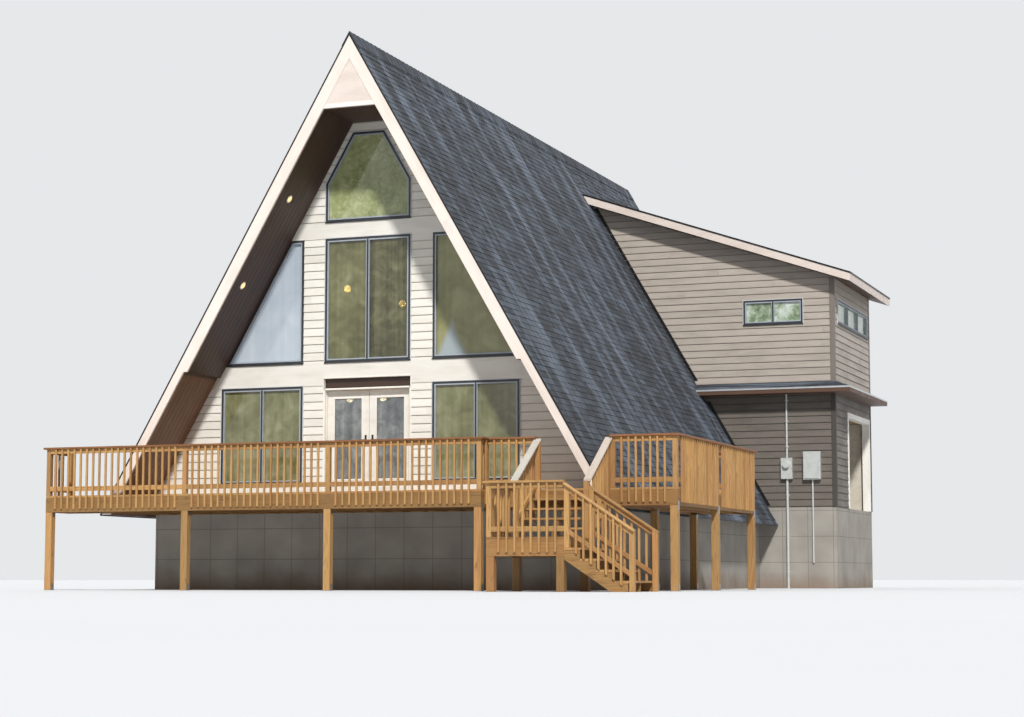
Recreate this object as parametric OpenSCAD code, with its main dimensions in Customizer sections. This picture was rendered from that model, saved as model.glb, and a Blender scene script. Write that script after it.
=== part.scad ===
// A-frame cabin with a two-storey side wing, a front deck and its stairs.
// X runs across the front, Y runs from the front wall to the back, Z is up.
// The origin lies on the ground, under the ridge, half way along the house.

/* [House] */
// Height of the ridge above the deck
ridge_h = 8970; // [8200:10:9600]
// Slope of the main roof, in degrees
slope = 60; // [58:0.5:62]
// Length from the front wall to the back wall
house_l = 15500; // [13200:50:18600]
// Thickness of the main roof
roof_t = 180; // [150:5:220]
// Furring that makes the upper part of the overhang thicker
lining_t = 70; // [40:5:100]
// How far the roof reaches in front of the front wall
front_ov = 1350; // [1150:10:1400]
// How far the roof reaches behind the back wall
rear_ov = 1150; // [900:10:1400]
// How far the roof edge hangs below the deck
eave_drop = 350; // [335:5:420]
// Thickness of the outside walls
wall_t = 150; // [120:5:200]
// Thickness of the foundation walls
footing_t = 200; // [180:5:260]
// Thickness of trim boards, which stand proud of the siding
trim_t = 20; // [15:1:25]
// Thickness of the roof's edge boards
fascia_t = 38; // [30:1:45]
// Width of the ridge cap on each side
ridge_w = 150; // [100:5:200]
// Thickness of the ridge cap
ridge_t = 12; // [6:1:20]
// Clearance where a piece meets a sloping face
seat_gap = 0.2; // [0.1:0.05:0.5]

/* [Levels] */
// Height of the deck above the lowest ground
deck_h = 1840; // [1550:10:2210]
// Height of the ground floor above the deck
floor_step = 70; // [50:5:100]
// Height of the upper floor above the deck
storey_h = 2600; // [2560:5:2640]
// Thickness of each floor
floor_t = 300; // [240:5:310]
// Thickness of the wing's floor slab
slab_t = 150; // [120:5:200]
// Height of the flat soffit above the deck
soffit_h = 7520; // [7450:10:7650]
// Height above the deck at which the overhang gets thinner
notch_h = 2450; // [2300:10:2700]

/* [Front windows] */
// Middle of the window group, measured from the ridge line
window_mid = -200; // [-220:5:0]
// Half width of the middle windows
bay_half = 930; // [880:5:960]
// Width of the strip of siding between two windows
pier_w = 479; // [420:1:500]
// Width of the lower side windows
low_w = 1828; // [1600:1:1850]
// Sill of the lower windows above the deck
low_sill = 270; // [200:5:600]
// Head of the lower windows above the deck
low_head = 2218; // [2100:1:2240]
// Sill of the middle windows above the deck
mid_sill = 2680; // [2660:1:2760]
// Head of the middle windows above the deck
mid_head = 5184; // [4800:1:5250]
// Sill of the top window above the deck
top_sill = 5516; // [5450:1:5650]
// Height above the deck at which the top window starts to narrow
top_knee = 6302; // [6100:1:6320]
// Head of the top window above the deck
top_head = 7319; // [7000:1:7340]
// Width of a window frame
frame_w = 60; // [45:1:75]
// Depth of a window frame
frame_d = 100; // [80:5:120]
// How far a window frame stands out of the wall
frame_out = 25; // [22:1:35]
// Width of the bar between two sheets of glass
mullion_w = 50; // [40:1:60]
// Thickness of a sheet of glass
glass_t = 12; // [8:1:20]

/* [Front doors] */
// Width of one door
leaf_w = 908; // [840:1:920]
// Height of one door
leaf_h = 2032; // [1980:1:2060]
// Thickness of one door
leaf_t = 44; // [38:1:50]
// Width of the upright and top parts of a door
stile_w = 150; // [110:1:180]
// Height of the bottom part of a door
kick_h = 260; // [180:5:320]
// Thickness of the door frame
jamb_w = 40; // [30:1:45]
// Gap between each door and its frame
door_gap = 6; // [5.5:0.5:8]
// Gap between the two doors
meet_gap = 9; // [8:0.5:12]
// Radius of a door hinge's barrel
barrel_r = 8; // [6:0.5:10]
// Gap between a door and the floor
door_lift = 12; // [10:1:15]
// Head of the doorway above the deck
doorway_head = 2380; // [2300:5:2420]
// Width of the stops that the doors close against
stop_w = 12; // [8:1:20]
// Depth of the stops
stop_d = 40; // [30:1:50]
// Height of a hinge
hinge_h = 100; // [80:5:120]
// Width of a hinge's plate
hinge_w = 35; // [25:1:38]
// Thickness of a hinge's plate
hinge_t = 3; // [2:0.5:4]
// Height of the lowest hinge above the door's foot
hinge_low = 180; // [150:5:300]
// Distance from the foot of the highest hinge to the door's top
hinge_high = 280; // [250:5:400]
// Clearance between a hinge's barrel and the door's corner
hinge_slack = 0.3; // [0.3:0.1:1]

/* [Wing] */
// Distance from the ridge line to the wing's side wall
wing_reach = 6795; // [6400:5:7400]
// Length of the wing along the house
wing_l = 4260; // [3900:5:4700]
// Height above the deck at which the wing's roof leaves the main roof
wing_top = 7870; // [7700:10:8000]
// Slope of the wing's roof, in degrees
wing_slope = 19; // [17:0.5:20]
// Thickness of the wing's roof
wing_roof_t = 200; // [160:5:220]
// How far the wing's roof reaches past its side wall
wing_eave = 450; // [350:5:550]
// How far the wing's roof reaches past its end walls
wing_rake = 350; // [250:5:450]
// Height of the wing's ground floor above the deck
wing_step = 70; // [50:5:130]
// Height of the joint between the wing's storeys above the deck
wing_mid = 2900; // [2850:5:3000]
// How far the small roof between the storeys stands out
pent_out = 450; // [350:5:500]
// Height of the small roof
pent_h = 280; // [220:5:320]
// Thickness of its outer edge
pent_edge = 120; // [90:5:160]
// Width of the wall in front of the open bay
bay_pier = 1460; // [1300:5:1600]
// Width of the open bay
bay_w = 2550; // [2300:5:2580]
// Height of the open bay
bay_h = 2230; // [2100:5:2400]
// Sill of the wing's windows above the deck
strip_sill = 4460; // [4300:5:4500]
// Height of the wing's windows
strip_h = 590; // [500:5:620]
// Width of the wing's front window
wing_window_w = 1450; // [1200:5:1500]
// Width of the wing's side window
side_window_w = 3600; // [3200:5:3620]
// Distance from the wing's side wall to its front window
wing_window_in = 740; // [600:5:800]
// How far the side window's middle lies behind the wing's middle
side_window_off = 20; // [0:5:60]

/* [Electric boxes] */
// Distance from the wing's side wall to the far side of the meter
meter_in = 1300; // [1200:5:1400]
// Height of the meter above the deck
meter_lift = 740; // [600:5:900]
// Width of the meter
meter_w = 270; // [220:5:320]
// Height of the meter box
meter_h = 500; // [420:5:600]
// Depth of the meter
meter_d = 110; // [90:5:130]
// Radius of the meter's round glass
dial_r = 85; // [70:1:95]
// How far the meter's round glass stands out
dial_d = 60; // [40:5:75]
// Height of the round glass above the meter's foot
dial_lift = 330; // [250:5:380]
// Distance from the wing's side wall to the far side of the breaker panel
panel_in = 760; // [700:5:850]
// Height of the panel above the deck
panel_lift = 720; // [600:5:900]
// Width of the panel
panel_w = 410; // [360:5:450]
// Height of the panel box
panel_h = 660; // [600:5:750]
// Depth of the panel
panel_d = 120; // [90:5:140]
// Thickness of the panel's door
lid_t = 12; // [5:1:20]
// Margin round the panel's door
lid_margin = 25; // [15:1:40]

/* [Deck] */
// Distance from the ridge line to the deck's left edge
deck_left = 6060; // [5700:10:6600]
// How far the deck reaches in front of the wall
deck_depth = 2320; // [2250:10:2700]
// Distance from the ridge line to the step in the deck's front edge
deck_jog = 3140; // [2900:10:3400]
// How far the right part of the deck reaches in front of the wall
side_depth = 2000; // [1900:10:2100]
// Distance from the ridge line to the side deck's outer edge
side_reach = 6750; // [6500:10:7100]
// How far the side deck runs past the front wall
side_l = 3600; // [2400:10:5000]
// Thickness of the deck boards
board_t = 38; // [30:1:45]
// Height of the joists and edge boards
joist_h = 286; // [184:1:290]
// Thickness of a joist
joist_w = 38; // [30:1:50]
// Distance between joists
joist_pitch = 406; // [305:1:610]
// Width of the posts under the deck
leg_w = 140; // [90:1:160]
// Posts under the deck's front edge
front_legs = 4; // [3:1:6]
// Posts under the side deck's outer edge
side_legs = 3; // [3:1:6]
// Half of the gap between the deck and the roof's foot
roof_gap = 50; // [30:5:80]

/* [Railing] */
// Height of the railing
rail_h = 950; // [880:5:1070]
// Width of a railing post
post_w = 89; // [80:1:110]
// Width of a baluster
baluster_w = 38; // [30:1:42]
// Distance between balusters
baluster_pitch = 140; // [120:1:160]
// How far the balusters run down below the deck
baluster_drop = 240; // [150:5:270]
// How far the flat rail on top reaches past the balusters
cap_lip = 13; // [8:1:20]
// Thickness of the flat rail on top
cap_t = 38; // [30:1:42]
// Height of the upright rails
bar_h = 89; // [70:1:110]
// Height of the bottom rail above the deck
bar_lift = 90; // [60:5:110]
// Posts of the front railing
front_posts = 4; // [3:1:6]
// Posts of the side railing
side_posts = 3; // [3:1:6]

/* [Stairs] */
// Distance from the ridge line to the stairs
stair_x = 4100; // [3900:10:4200]
// Width of the stairs and the landing
stair_w = 1400; // [1250:10:1450]
// Steps in each flight, the landing or ground included
risers = 5; // [4:1:6]
// Depth of a tread
tread_run = 280; // [250:5:300]
// How far a tread's front edge stands out
nosing = 20; // [10:1:30]
// How far the stairs' balusters run down below the step edges
stair_drop = 160; // [120:5:180]
// Depth left in a stair's side board under the steps
throat = 160; // [120:5:190]

/* [Hidden] */

SIDING = [0.68, 0.63, 0.56];
DARK_SIDING = [0.33, 0.31, 0.29];
TRIM = [0.78, 0.70, 0.62];
SHINGLE = [0.20, 0.21, 0.24];
BROWN = [0.22, 0.15, 0.11];
FRAME = [0.08, 0.08, 0.09];
GLASS = [0.45, 0.52, 0.36];
WHITE = [0.90, 0.88, 0.85];
CONCRETE = [0.52, 0.50, 0.47];
PINE = [0.72, 0.50, 0.24];
STEEL = [0.60, 0.60, 0.58];

$fn = 48;

steep = tan(slope);
roof_run = roof_t / sin(slope);
inner_run = roof_run + seat_gap;
upper_run = (roof_t + lining_t) / sin(slope);
apex_z = deck_h + ridge_h;
eave_z = deck_h - eave_drop;
floor_z = deck_h + floor_step;
floor_half = roof_x(floor_z) - roof_run;
footing_z = floor_z - floor_t;
upper_z = deck_h + storey_h;
joist_z = deck_h - board_t - joist_h;
rear_y = house_l + rear_ov;
band_z = deck_h + low_head;
low_in = bay_half + pier_w;
low_out = low_in + low_w;
door_w = 2 * leaf_w + meet_gap + 2 * door_gap + 2 * jamb_w;
recess = wall_t - leaf_t;
door_z = floor_z + door_lift;
door_top = door_z + leaf_h + door_gap + jamb_w;
hinge_x = door_w / 2 - jamb_w - door_gap;
glass_y = frame_d / 2 - frame_out - glass_t / 2;
wing_y = house_l - wing_l;
wing_tan = tan(wing_slope);
wing_peak_z = deck_h + wing_top;
wing_peak_x = roof_x(wing_peak_z);
wing_drop = wing_roof_t / cos(wing_slope);
wing_z = deck_h + wing_step;
wing_mid_z = deck_h + wing_mid;
bay_y = wing_y + bay_pier;
porch_y = -front_ov - fascia_t - 2 * roof_gap;
deck_in = roof_x(deck_h) - roof_run - roof_gap;
side_in = roof_x(deck_h - board_t) + roof_gap;
frame_in = roof_x(deck_h) - roof_run - 2 * roof_gap;
side_frame_in = roof_x(joist_z) + roof_gap;
rise = deck_h / (2 * risers);
flight_l = (risers - 1) * tread_run;
landing_z = deck_h - risers * rise;
landing_y = -side_depth - flight_l;
landing_front = landing_y - stair_w;
stair_end_x = stair_x + stair_w;
fall = rise / tread_run;
board_z = rise + board_t;
cap_out = baluster_w + cap_lip;
cap_w = post_w + cap_out;

// Half width of the main roof at a height above the ground
function roof_x(z) = (apex_z - z) / steep;
// Top and underside of the wing's roof at a distance from the ridge line
function wing_top_z(x) = wing_peak_z - wing_tan * (x - wing_peak_x);
function wing_under_z(x) = wing_top_z(x) - wing_drop;
// Top of the wing's walls, just under its roof
function wing_wall_z(x) = wing_under_z(x) - seat_gap;
// Corners of a rectangle
function box2(x0, x1, z0, z1) = [[x0, z0], [x1, z0], [x1, z1], [x0, z1]];
// Sloping bar that falls by a share of its length
function bar2(u0, u1, v0, v1, f) =
    [[u0, v0 - f * u0], [u1, v0 - f * u1], [u1, v1 - f * u1], [u0, v1 - f * u0]];
function unit(v) = v / norm(v);
function inward(a, b) = unit([a[1] - b[1], b[0] - a[0]]);
// Outline moved inwards by a distance, for a convex outline drawn anticlockwise
function inset(p, d) = [
    for (i = [0 : len(p) - 1])
        let (
            n1 = inward(p[(i + len(p) - 1) % len(p)], p[i]),
            n2 = inward(p[i], p[(i + 1) % len(p)])
        )
        p[i] + d * (n1 + n2) / (1 + n1 * n2)
];

// The outlines of the window openings, seen from the front
function low_left_hole() = box2(window_mid - low_out, window_mid - low_in, deck_h + low_sill, band_z);
function low_right_hole() = box2(window_mid + low_in, window_mid + low_out, deck_h + low_sill, band_z);
function low_centre_hole() = box2(window_mid - bay_half, window_mid + bay_half, deck_h + low_sill, band_z);
function mid_centre_hole() =
    box2(window_mid - bay_half, window_mid + bay_half, deck_h + mid_sill, deck_h + mid_head);
function under_soffit(z) = roof_x(z) - upper_run;
function mid_left_hole() = [
    [-under_soffit(deck_h + mid_sill), deck_h + mid_sill],
    [window_mid - low_in, deck_h + mid_sill],
    [window_mid - low_in, deck_h + mid_head],
    [-under_soffit(deck_h + mid_head), deck_h + mid_head]
];
function mid_right_hole() = [
    [window_mid + low_in, deck_h + mid_sill],
    [under_soffit(deck_h + mid_sill), deck_h + mid_sill],
    [under_soffit(deck_h + mid_head), deck_h + mid_head],
    [window_mid + low_in, deck_h + mid_head]
];
top_half = bay_half - (top_head - top_knee) / steep;
function top_hole() = [
    [window_mid - bay_half, deck_h + top_sill],
    [window_mid + bay_half, deck_h + top_sill],
    [window_mid + bay_half, deck_h + top_knee],
    [window_mid + top_half, deck_h + top_head],
    [window_mid - top_half, deck_h + top_head],
    [window_mid - bay_half, deck_h + top_knee]
];
function doorway() = box2(window_mid - door_w / 2, window_mid + door_w / 2, floor_z, deck_h + doorway_head);
wing_window_x = wing_reach - wing_window_in - wing_window_w / 2;
function wing_end_hole() = box2(wing_window_x - wing_window_w / 2, wing_window_x + wing_window_w / 2,
    deck_h + strip_sill, deck_h + strip_sill + strip_h);
side_window_y = wing_y + wing_l / 2 + side_window_off;

// Everything is drawn with the front wall at Y = 0 and moved to the middle
module place() {
    translate([0, -house_l / 2, 0]) children();
}

// Plate seen from the front, between two distances behind the front wall
module plate(y0, y1) {
    translate([0, y1, 0]) rotate([90, 0, 0]) linear_extrude(y1 - y0) children();
}

// Plate seen from the right, between two distances from the ridge line
module side_plate(x0, x1) {
    translate([x0, 0, 0]) rotate([90, 0, 90]) linear_extrude(x1 - x0) children();
}

// Slab seen from above, between two heights
module slab(z0, z1) {
    translate([0, 0, z0]) linear_extrude(z1 - z0) children();
}

module block(x0, x1, y0, y1, z0, z1) {
    translate([x0, y0, z0]) cube([x1 - x0, y1 - y0, z1 - z0]);
}

// Cut of the space under the main roof between two heights
module under_roof(z0, z1, run) {
    polygon([
        [-(roof_x(z0) - run), z0],
        [roof_x(z0) - run, z0],
        [roof_x(z1) - run, z1],
        [-(roof_x(z1) - run), z1]
    ]);
}

module foundation() {
    half = (2 * floor_half - 3 * footing_t) / 2;
    color(CONCRETE) place() difference() {
        block(-floor_half, floor_half, 0, house_l, 0, footing_z);
        for (x = [-floor_half + footing_t, footing_t / 2])
            block(x, x + half, footing_t, house_l - footing_t, -1, footing_z + 1);
    }
}

module ground_floor() {
    color(PINE) place() union() {
        block(-floor_half, floor_half, wall_t, house_l - wall_t, footing_z, floor_z);
        block(window_mid - door_w / 2, window_mid + door_w / 2, 0, wall_t, footing_z, floor_z);
    }
}

module upper_floor() {
    color(PINE) place() plate(wall_t, house_l - wall_t)
        under_roof(upper_z - floor_t, upper_z, inner_run);
}

// The front wall's outline up to the underside of the roof
module wall_outline(z0) {
    polygon([
        [-(roof_x(z0) - inner_run), z0],
        [roof_x(z0) - inner_run, z0],
        [0, apex_z - inner_run * steep]
    ]);
}

module front_wall_left() {
    color(SIDING) place() plate(0, wall_t) difference() {
        intersection() {
            wall_outline(footing_z);
            polygon(box2(-2 * floor_half, window_mid - door_w / 2, footing_z, deck_h + doorway_head));
        }
        polygon(low_left_hole());
    }
}

module front_wall_right() {
    color(SIDING) place() plate(0, wall_t) difference() {
        intersection() {
            wall_outline(footing_z);
            polygon(box2(window_mid + door_w / 2, 2 * floor_half, footing_z, deck_h + doorway_head));
        }
        polygon(low_right_hole());
    }
}

module front_wall_upper() {
    color(SIDING) place() plate(0, wall_t) difference() {
        wall_outline(deck_h + doorway_head);
        polygon(mid_left_hole());
        polygon(mid_centre_hole());
        polygon(mid_right_hole());
        polygon(top_hole());
    }
}

module back_wall() {
    color(SIDING) place() plate(house_l - wall_t, house_l) difference() {
        wall_outline(footing_z);
        polygon(low_left_hole());
        polygon(low_centre_hole());
        polygon(low_right_hole());
        polygon(mid_left_hole());
        polygon(mid_centre_hole());
        polygon(mid_right_hole());
        polygon(top_hole());
    }
}

module bands() {
    under_roof(band_z, deck_h + mid_sill, upper_run);
    under_roof(deck_h + mid_head, deck_h + top_sill, upper_run);
}

module wall_bands() {
    color(TRIM) place() {
        plate(-trim_t, 0) difference() {
            bands();
            polygon(doorway());
        }
        plate(house_l, house_l + trim_t) bands();
    }
}

// One slope of the main roof, on the right side, as a plate along the house
module roof_slope(y0, y1, x_end) {
    plate(y0, y1) intersection() {
        polygon([
            [0, apex_z],
            [0, apex_z - roof_run * steep],
            [roof_x(eave_z) - roof_run, eave_z],
            [roof_x(eave_z), eave_z]
        ]);
        polygon(box2(0, x_end, 0, apex_z));
    }
}

module roof_left() {
    color(SHINGLE) place() mirror([1, 0, 0]) roof_slope(-front_ov, rear_y, roof_x(0));
}

// The right slope stops at the wing's roof where the wing stands
module roof_right() {
    color(SHINGLE) place() union() {
        roof_slope(-front_ov, wing_y, roof_x(0));
        roof_slope(wing_y, house_l, wing_peak_x);
        roof_slope(house_l, rear_y, roof_x(0));
    }
}

module ridge_cap() {
    z0 = apex_z + seat_gap;
    z1 = z0 + ridge_t / cos(slope);
    color(SHINGLE) place() plate(-front_ov - fascia_t, rear_y + fascia_t) polygon([
        [0, z0],
        [ridge_w, z0 - ridge_w * steep],
        [ridge_w, z1 - ridge_w * steep],
        [0, z1],
        [-ridge_w, z1 - ridge_w * steep],
        [-ridge_w, z0 - ridge_w * steep]
    ]);
}

// Edge board of one slope: its lower part is narrower
module rake_outline() {
    notch_z = deck_h + notch_h;
    polygon([
        [0, apex_z],
        [0, apex_z - upper_run * steep],
        [roof_x(notch_z) - upper_run, notch_z],
        [roof_x(notch_z) - roof_run, notch_z],
        [roof_x(eave_z) - roof_run, eave_z],
        [roof_x(eave_z), eave_z]
    ]);
}

module rake_boards() {
    for (y = [-front_ov - fascia_t, rear_y])
        plate(y, y + fascia_t) rake_outline();
}

module rake_boards_left() {
    color(TRIM) place() mirror([1, 0, 0]) rake_boards();
}

module rake_boards_right() {
    color(TRIM) place() rake_boards();
}

// Triangle at the peak, closed at the bottom by the flat soffit
module peak_outline() {
    half = roof_x(deck_h + soffit_h) - upper_run;
    polygon([[-half, deck_h + soffit_h], [half, deck_h + soffit_h], [0, apex_z - upper_run * steep]]);
}

module gable_peaks() {
    z0 = deck_h + soffit_h;
    color(TRIM) place() {
        plate(-front_ov - fascia_t, -front_ov) peak_outline();
        plate(-front_ov, -trim_t) under_roof(z0, z0 + trim_t, inner_run);
        plate(rear_y, rear_y + fascia_t) peak_outline();
        plate(house_l + trim_t, rear_y) under_roof(z0, z0 + trim_t, inner_run);
    }
}

// Furred lining under the overhang of one slope, on the right side
module lining() {
    notch_z = deck_h + notch_h;
    flat_z = deck_h + soffit_h;
    for (y = [[-front_ov, -trim_t], [house_l + trim_t, rear_y]])
        plate(y[0], y[1]) polygon([
            [roof_x(flat_z) - upper_run, flat_z],
            [roof_x(notch_z) - upper_run, notch_z],
            [roof_x(notch_z) - inner_run, notch_z],
            [roof_x(flat_z) - inner_run, flat_z]
        ]);
}

module soffit_left() {
    color(BROWN) place() mirror([1, 0, 0]) lining();
}

module soffit_right() {
    color(BROWN) place() lining();
}

// Window frame with upright bars, in an opening of any convex outline
module window_frame(hole, y, bars) {
    plate(y, y + frame_d) difference() {
        polygon(hole);
        difference() {
            polygon(inset(hole, frame_w));
            for (x = bars)
                translate([x - mullion_w / 2, 0]) square([mullion_w, apex_z]);
        }
    }
}

front_y = -frame_out;
back_y = house_l - frame_d + frame_out;

low_left_x = window_mid - low_in - low_w / 2;
low_right_x = window_mid + low_in + low_w / 2;

// The six windows that both gable walls have
module gable_windows(y) {
    window_frame(top_hole(), y, []);
    window_frame(mid_left_hole(), y, []);
    window_frame(mid_centre_hole(), y, [window_mid]);
    window_frame(mid_right_hole(), y, []);
    window_frame(low_left_hole(), y, [low_left_x]);
    window_frame(low_right_hole(), y, [low_right_x]);
}

module front_windows() {
    color(FRAME) place() gable_windows(front_y);
}

// One sheet of glass, which fits between the frame's sides
module pane(hole, y) {
    plate(y, y + glass_t) polygon(inset(hole, frame_w));
}

// The two sheets of glass beside a middle bar
module split_pane(hole, y, x) {
    plate(y, y + glass_t) difference() {
        polygon(inset(hole, frame_w));
        translate([x - mullion_w / 2, 0]) square([mullion_w, apex_z]);
    }
}

module gable_panes(y) {
    pane(top_hole(), y);
    pane(mid_left_hole(), y);
    split_pane(mid_centre_hole(), y, window_mid);
    pane(mid_right_hole(), y);
    split_pane(low_left_hole(), y, low_left_x);
    split_pane(low_right_hole(), y, low_right_x);
}

module front_glass() {
    color(GLASS) place() gable_panes(glass_y);
}

module back_windows() {
    color(FRAME) place() {
        gable_windows(back_y);
        window_frame(low_centre_hole(), back_y, [window_mid]);
    }
}

module back_glass() {
    color(GLASS) place() {
        gable_panes(house_l - glass_y - glass_t);
        split_pane(low_centre_hole(), house_l - glass_y - glass_t, window_mid);
    }
}

// Frame of the front doors, with stops in front of the doors and a dark head above
module door_frame() {
    half = door_w / 2;
    stop_y = recess - door_gap;
    color(WHITE) place() translate([window_mid, 0, 0]) union() {
        for (side = [-1, 1])
            translate([side * (half - jamb_w / 2) - jamb_w / 2, stop_y - stop_d, floor_z])
                cube([jamb_w, wall_t - stop_y + stop_d, door_top - floor_z]);
        for (side = [-1, 1])
            translate([side * (half - jamb_w - stop_w / 2) - stop_w / 2, stop_y - stop_d, floor_z])
                cube([stop_w, stop_d, door_top - floor_z]);
        block(-half, half, stop_y - stop_d, wall_t, door_top - jamb_w, door_top);
        block(-half, half, stop_y, wall_t, door_top, deck_h + doorway_head);
        block(-half, half, stop_y - stop_d, wall_t, floor_z, floor_z + door_lift - door_gap);
    }
}

// One door as a frame round its glass, with its hinge edge at X = 0
module leaf() {
    difference() {
        translate([0, recess, door_z]) cube([leaf_w, leaf_t, leaf_h]);
        translate([stile_w, recess - 1, door_z + kick_h])
            cube([leaf_w - 2 * stile_w, leaf_t + 2, leaf_h - kick_h - stile_w]);
    }
}

module leaf_glass() {
    translate([stile_w, recess + (leaf_t - glass_t) / 2, door_z + kick_h])
        cube([leaf_w - 2 * stile_w, glass_t, leaf_h - kick_h - stile_w]);
}

// Barrel and plate of one hinge, with the door's hinge edge at X = 0. The door's
// corner turns round the barrel at a small distance.
module hinge(z) {
    x = -door_gap / 2;
    y = wall_t + sqrt(pow(barrel_r + hinge_slack, 2) - pow(x, 2));
    translate([x, y, z]) cylinder(r = barrel_r, h = hinge_h);
    translate([x - hinge_w, wall_t, z]) cube([hinge_w, hinge_t, hinge_h]);
}

module hinge_set() {
    for (z = [hinge_low, (leaf_h - hinge_h) / 2, leaf_h - hinge_high])
        hinge(door_z + z);
}

module door_hinges() {
    color(STEEL) place() {
        translate([window_mid - hinge_x, 0, 0]) hinge_set();
        translate([window_mid + hinge_x, 0, 0]) mirror([1, 0, 0]) hinge_set();
    }
}

module front_door_left() {
    color(WHITE) place() translate([window_mid - hinge_x, 0, 0]) leaf();
}

module front_door_right() {
    color(WHITE) place() translate([window_mid + hinge_x, 0, 0]) mirror([1, 0, 0]) leaf();
}

module door_glass_left() {
    color(GLASS) place() translate([window_mid - hinge_x, 0, 0]) leaf_glass();
}

module door_glass_right() {
    color(GLASS) place() translate([window_mid + hinge_x, 0, 0]) mirror([1, 0, 0]) leaf_glass();
}

// Foundation walls of the wing, closed by a slab
module wing_foundation() {
    color(CONCRETE) place() difference() {
        block(floor_half, wing_reach, wing_y, house_l, 0, wing_z);
        block(floor_half - 1, wing_reach - footing_t, wing_y + footing_t, house_l - footing_t,
            -1, wing_z - slab_t);
        plate(house_l - wall_t, house_l + 1) wall_outline(footing_z);
    }
}

// Outline of the wing's end walls between two heights
module wing_lower_outline() {
    polygon([
        [wing_reach, wing_z],
        [wing_reach, wing_mid_z],
        [roof_x(wing_mid_z) - roof_run, wing_mid_z],
        [roof_x(wing_z) - roof_run, wing_z]
    ]);
}

module wing_upper_outline() {
    polygon([
        [roof_x(wing_mid_z) - roof_run, wing_mid_z],
        [wing_reach, wing_mid_z],
        [wing_reach, wing_wall_z(wing_reach)],
        [wing_peak_x, wing_wall_z(wing_peak_x)],
        [wing_peak_x, wing_peak_z - roof_run * steep]
    ]);
}

module wing_front_lower() {
    color(DARK_SIDING) place() plate(wing_y, wing_y + wall_t) wing_lower_outline();
}

module wing_side_lower() {
    color(DARK_SIDING) place() side_plate(wing_reach - wall_t, wing_reach) difference() {
        polygon(box2(wing_y + wall_t, house_l - wall_t, wing_z, wing_mid_z));
        polygon(box2(bay_y, bay_y + bay_w, wing_z - 1, wing_z + bay_h));
    }
}

module bay_inner_wall() {
    z1 = upper_z - floor_t;
    x1 = roof_x(z1) - roof_run;
    color(SIDING) place() block(x1 - wall_t, x1, wing_y, house_l - wall_t, floor_z, z1);
}

module wing_front_upper() {
    color(SIDING) place() plate(wing_y, wing_y + wall_t) difference() {
        wing_upper_outline();
        polygon(wing_end_hole());
    }
}

module wing_side_upper() {
    z0 = deck_h + strip_sill;
    x0 = wing_reach - wall_t;
    color(SIDING) place() difference() {
        plate(wing_y + wall_t, house_l - wall_t) polygon([
            [x0, wing_mid_z],
            [wing_reach, wing_mid_z],
            [wing_reach, wing_wall_z(wing_reach)],
            [x0, wing_wall_z(x0)]
        ]);
        block(x0 - 1, wing_reach + 1, side_window_y - side_window_w / 2,
            side_window_y + side_window_w / 2, z0, z0 + strip_h);
    }
}

module wing_back_wall() {
    color(SIDING) place() plate(house_l - wall_t, house_l) difference() {
        union() {
            wing_lower_outline();
            wing_upper_outline();
        }
        polygon(wing_end_hole());
    }
}

module wing_floor() {
    x0 = roof_x(upper_z) - roof_run;
    color(PINE) place() plate(wing_y + wall_t, house_l - wall_t) polygon([
        [roof_x(upper_z - floor_t) - roof_run, upper_z - floor_t],
        [wing_reach - wall_t, upper_z - floor_t],
        [wing_reach - wall_t, upper_z],
        [x0, upper_z]
    ]);
}

// Roof of the wing: it starts on the main roof's cut edge and, past the end
// walls, on the main roof's surface
module wing_roof() {
    x1 = wing_reach + wing_eave;
    peak_x = wing_peak_x + seat_gap;
    start_x = peak_x + wing_drop / (steep - wing_tan);
    color(SHINGLE) place() union() {
        plate(wing_y, house_l) polygon([
            [wing_peak_x, wing_under_z(wing_peak_x)],
            [x1, wing_under_z(x1)],
            [x1, wing_top_z(x1)],
            [wing_peak_x, wing_peak_z]
        ]);
        for (y = [wing_y - wing_rake, house_l])
            plate(y, y + wing_rake) polygon([
                [start_x, wing_under_z(start_x)],
                [x1, wing_under_z(x1)],
                [x1, wing_top_z(x1)],
                [peak_x, wing_top_z(peak_x)]
            ]);
    }
}

// Edge boards along the wing's two sloping ends and its eave
module wing_fascia() {
    x1 = wing_reach + wing_eave;
    peak_x = wing_peak_x + seat_gap;
    start_x = peak_x + wing_drop / (steep - wing_tan);
    y0 = wing_y - wing_rake;
    y1 = house_l + wing_rake;
    color(TRIM) place() union() {
        for (y = [y0 - fascia_t, y1])
            plate(y, y + fascia_t) polygon([
                [start_x, wing_under_z(start_x)],
                [x1 + fascia_t, wing_under_z(x1 + fascia_t)],
                [x1 + fascia_t, wing_top_z(x1 + fascia_t)],
                [peak_x, wing_top_z(peak_x)]
            ]);
        plate(y0, y1) polygon([
            [x1, wing_under_z(x1)],
            [x1 + fascia_t, wing_under_z(x1 + fascia_t)],
            [x1 + fascia_t, wing_top_z(x1 + fascia_t)],
            [x1, wing_top_z(x1)]
        ]);
    }
}

// Small roof between the storeys: two sloping edges that meet in a hip
module pent_roof() {
    z0 = wing_mid_z - pent_h / 2;
    z1 = z0 + pent_edge;
    z2 = z0 + pent_h;
    x_end = wing_reach + pent_out;
    y_end = wing_y - pent_out;
    color(SHINGLE) place() difference() {
        intersection() {
            side_plate(0, x_end) polygon([
                [y_end, z0], [house_l, z0], [house_l, z2], [wing_y, z2], [y_end, z1]
            ]);
            plate(y_end, house_l) polygon([
                [roof_x(z0) + seat_gap, z0],
                [x_end, z0],
                [x_end, z1],
                [wing_reach, z2],
                [roof_x(z2) + seat_gap, z2]
            ]);
        }
        block(0, wing_reach, wing_y, house_l + 1, z0 - 1, z2 + 1);
    }
}

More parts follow.
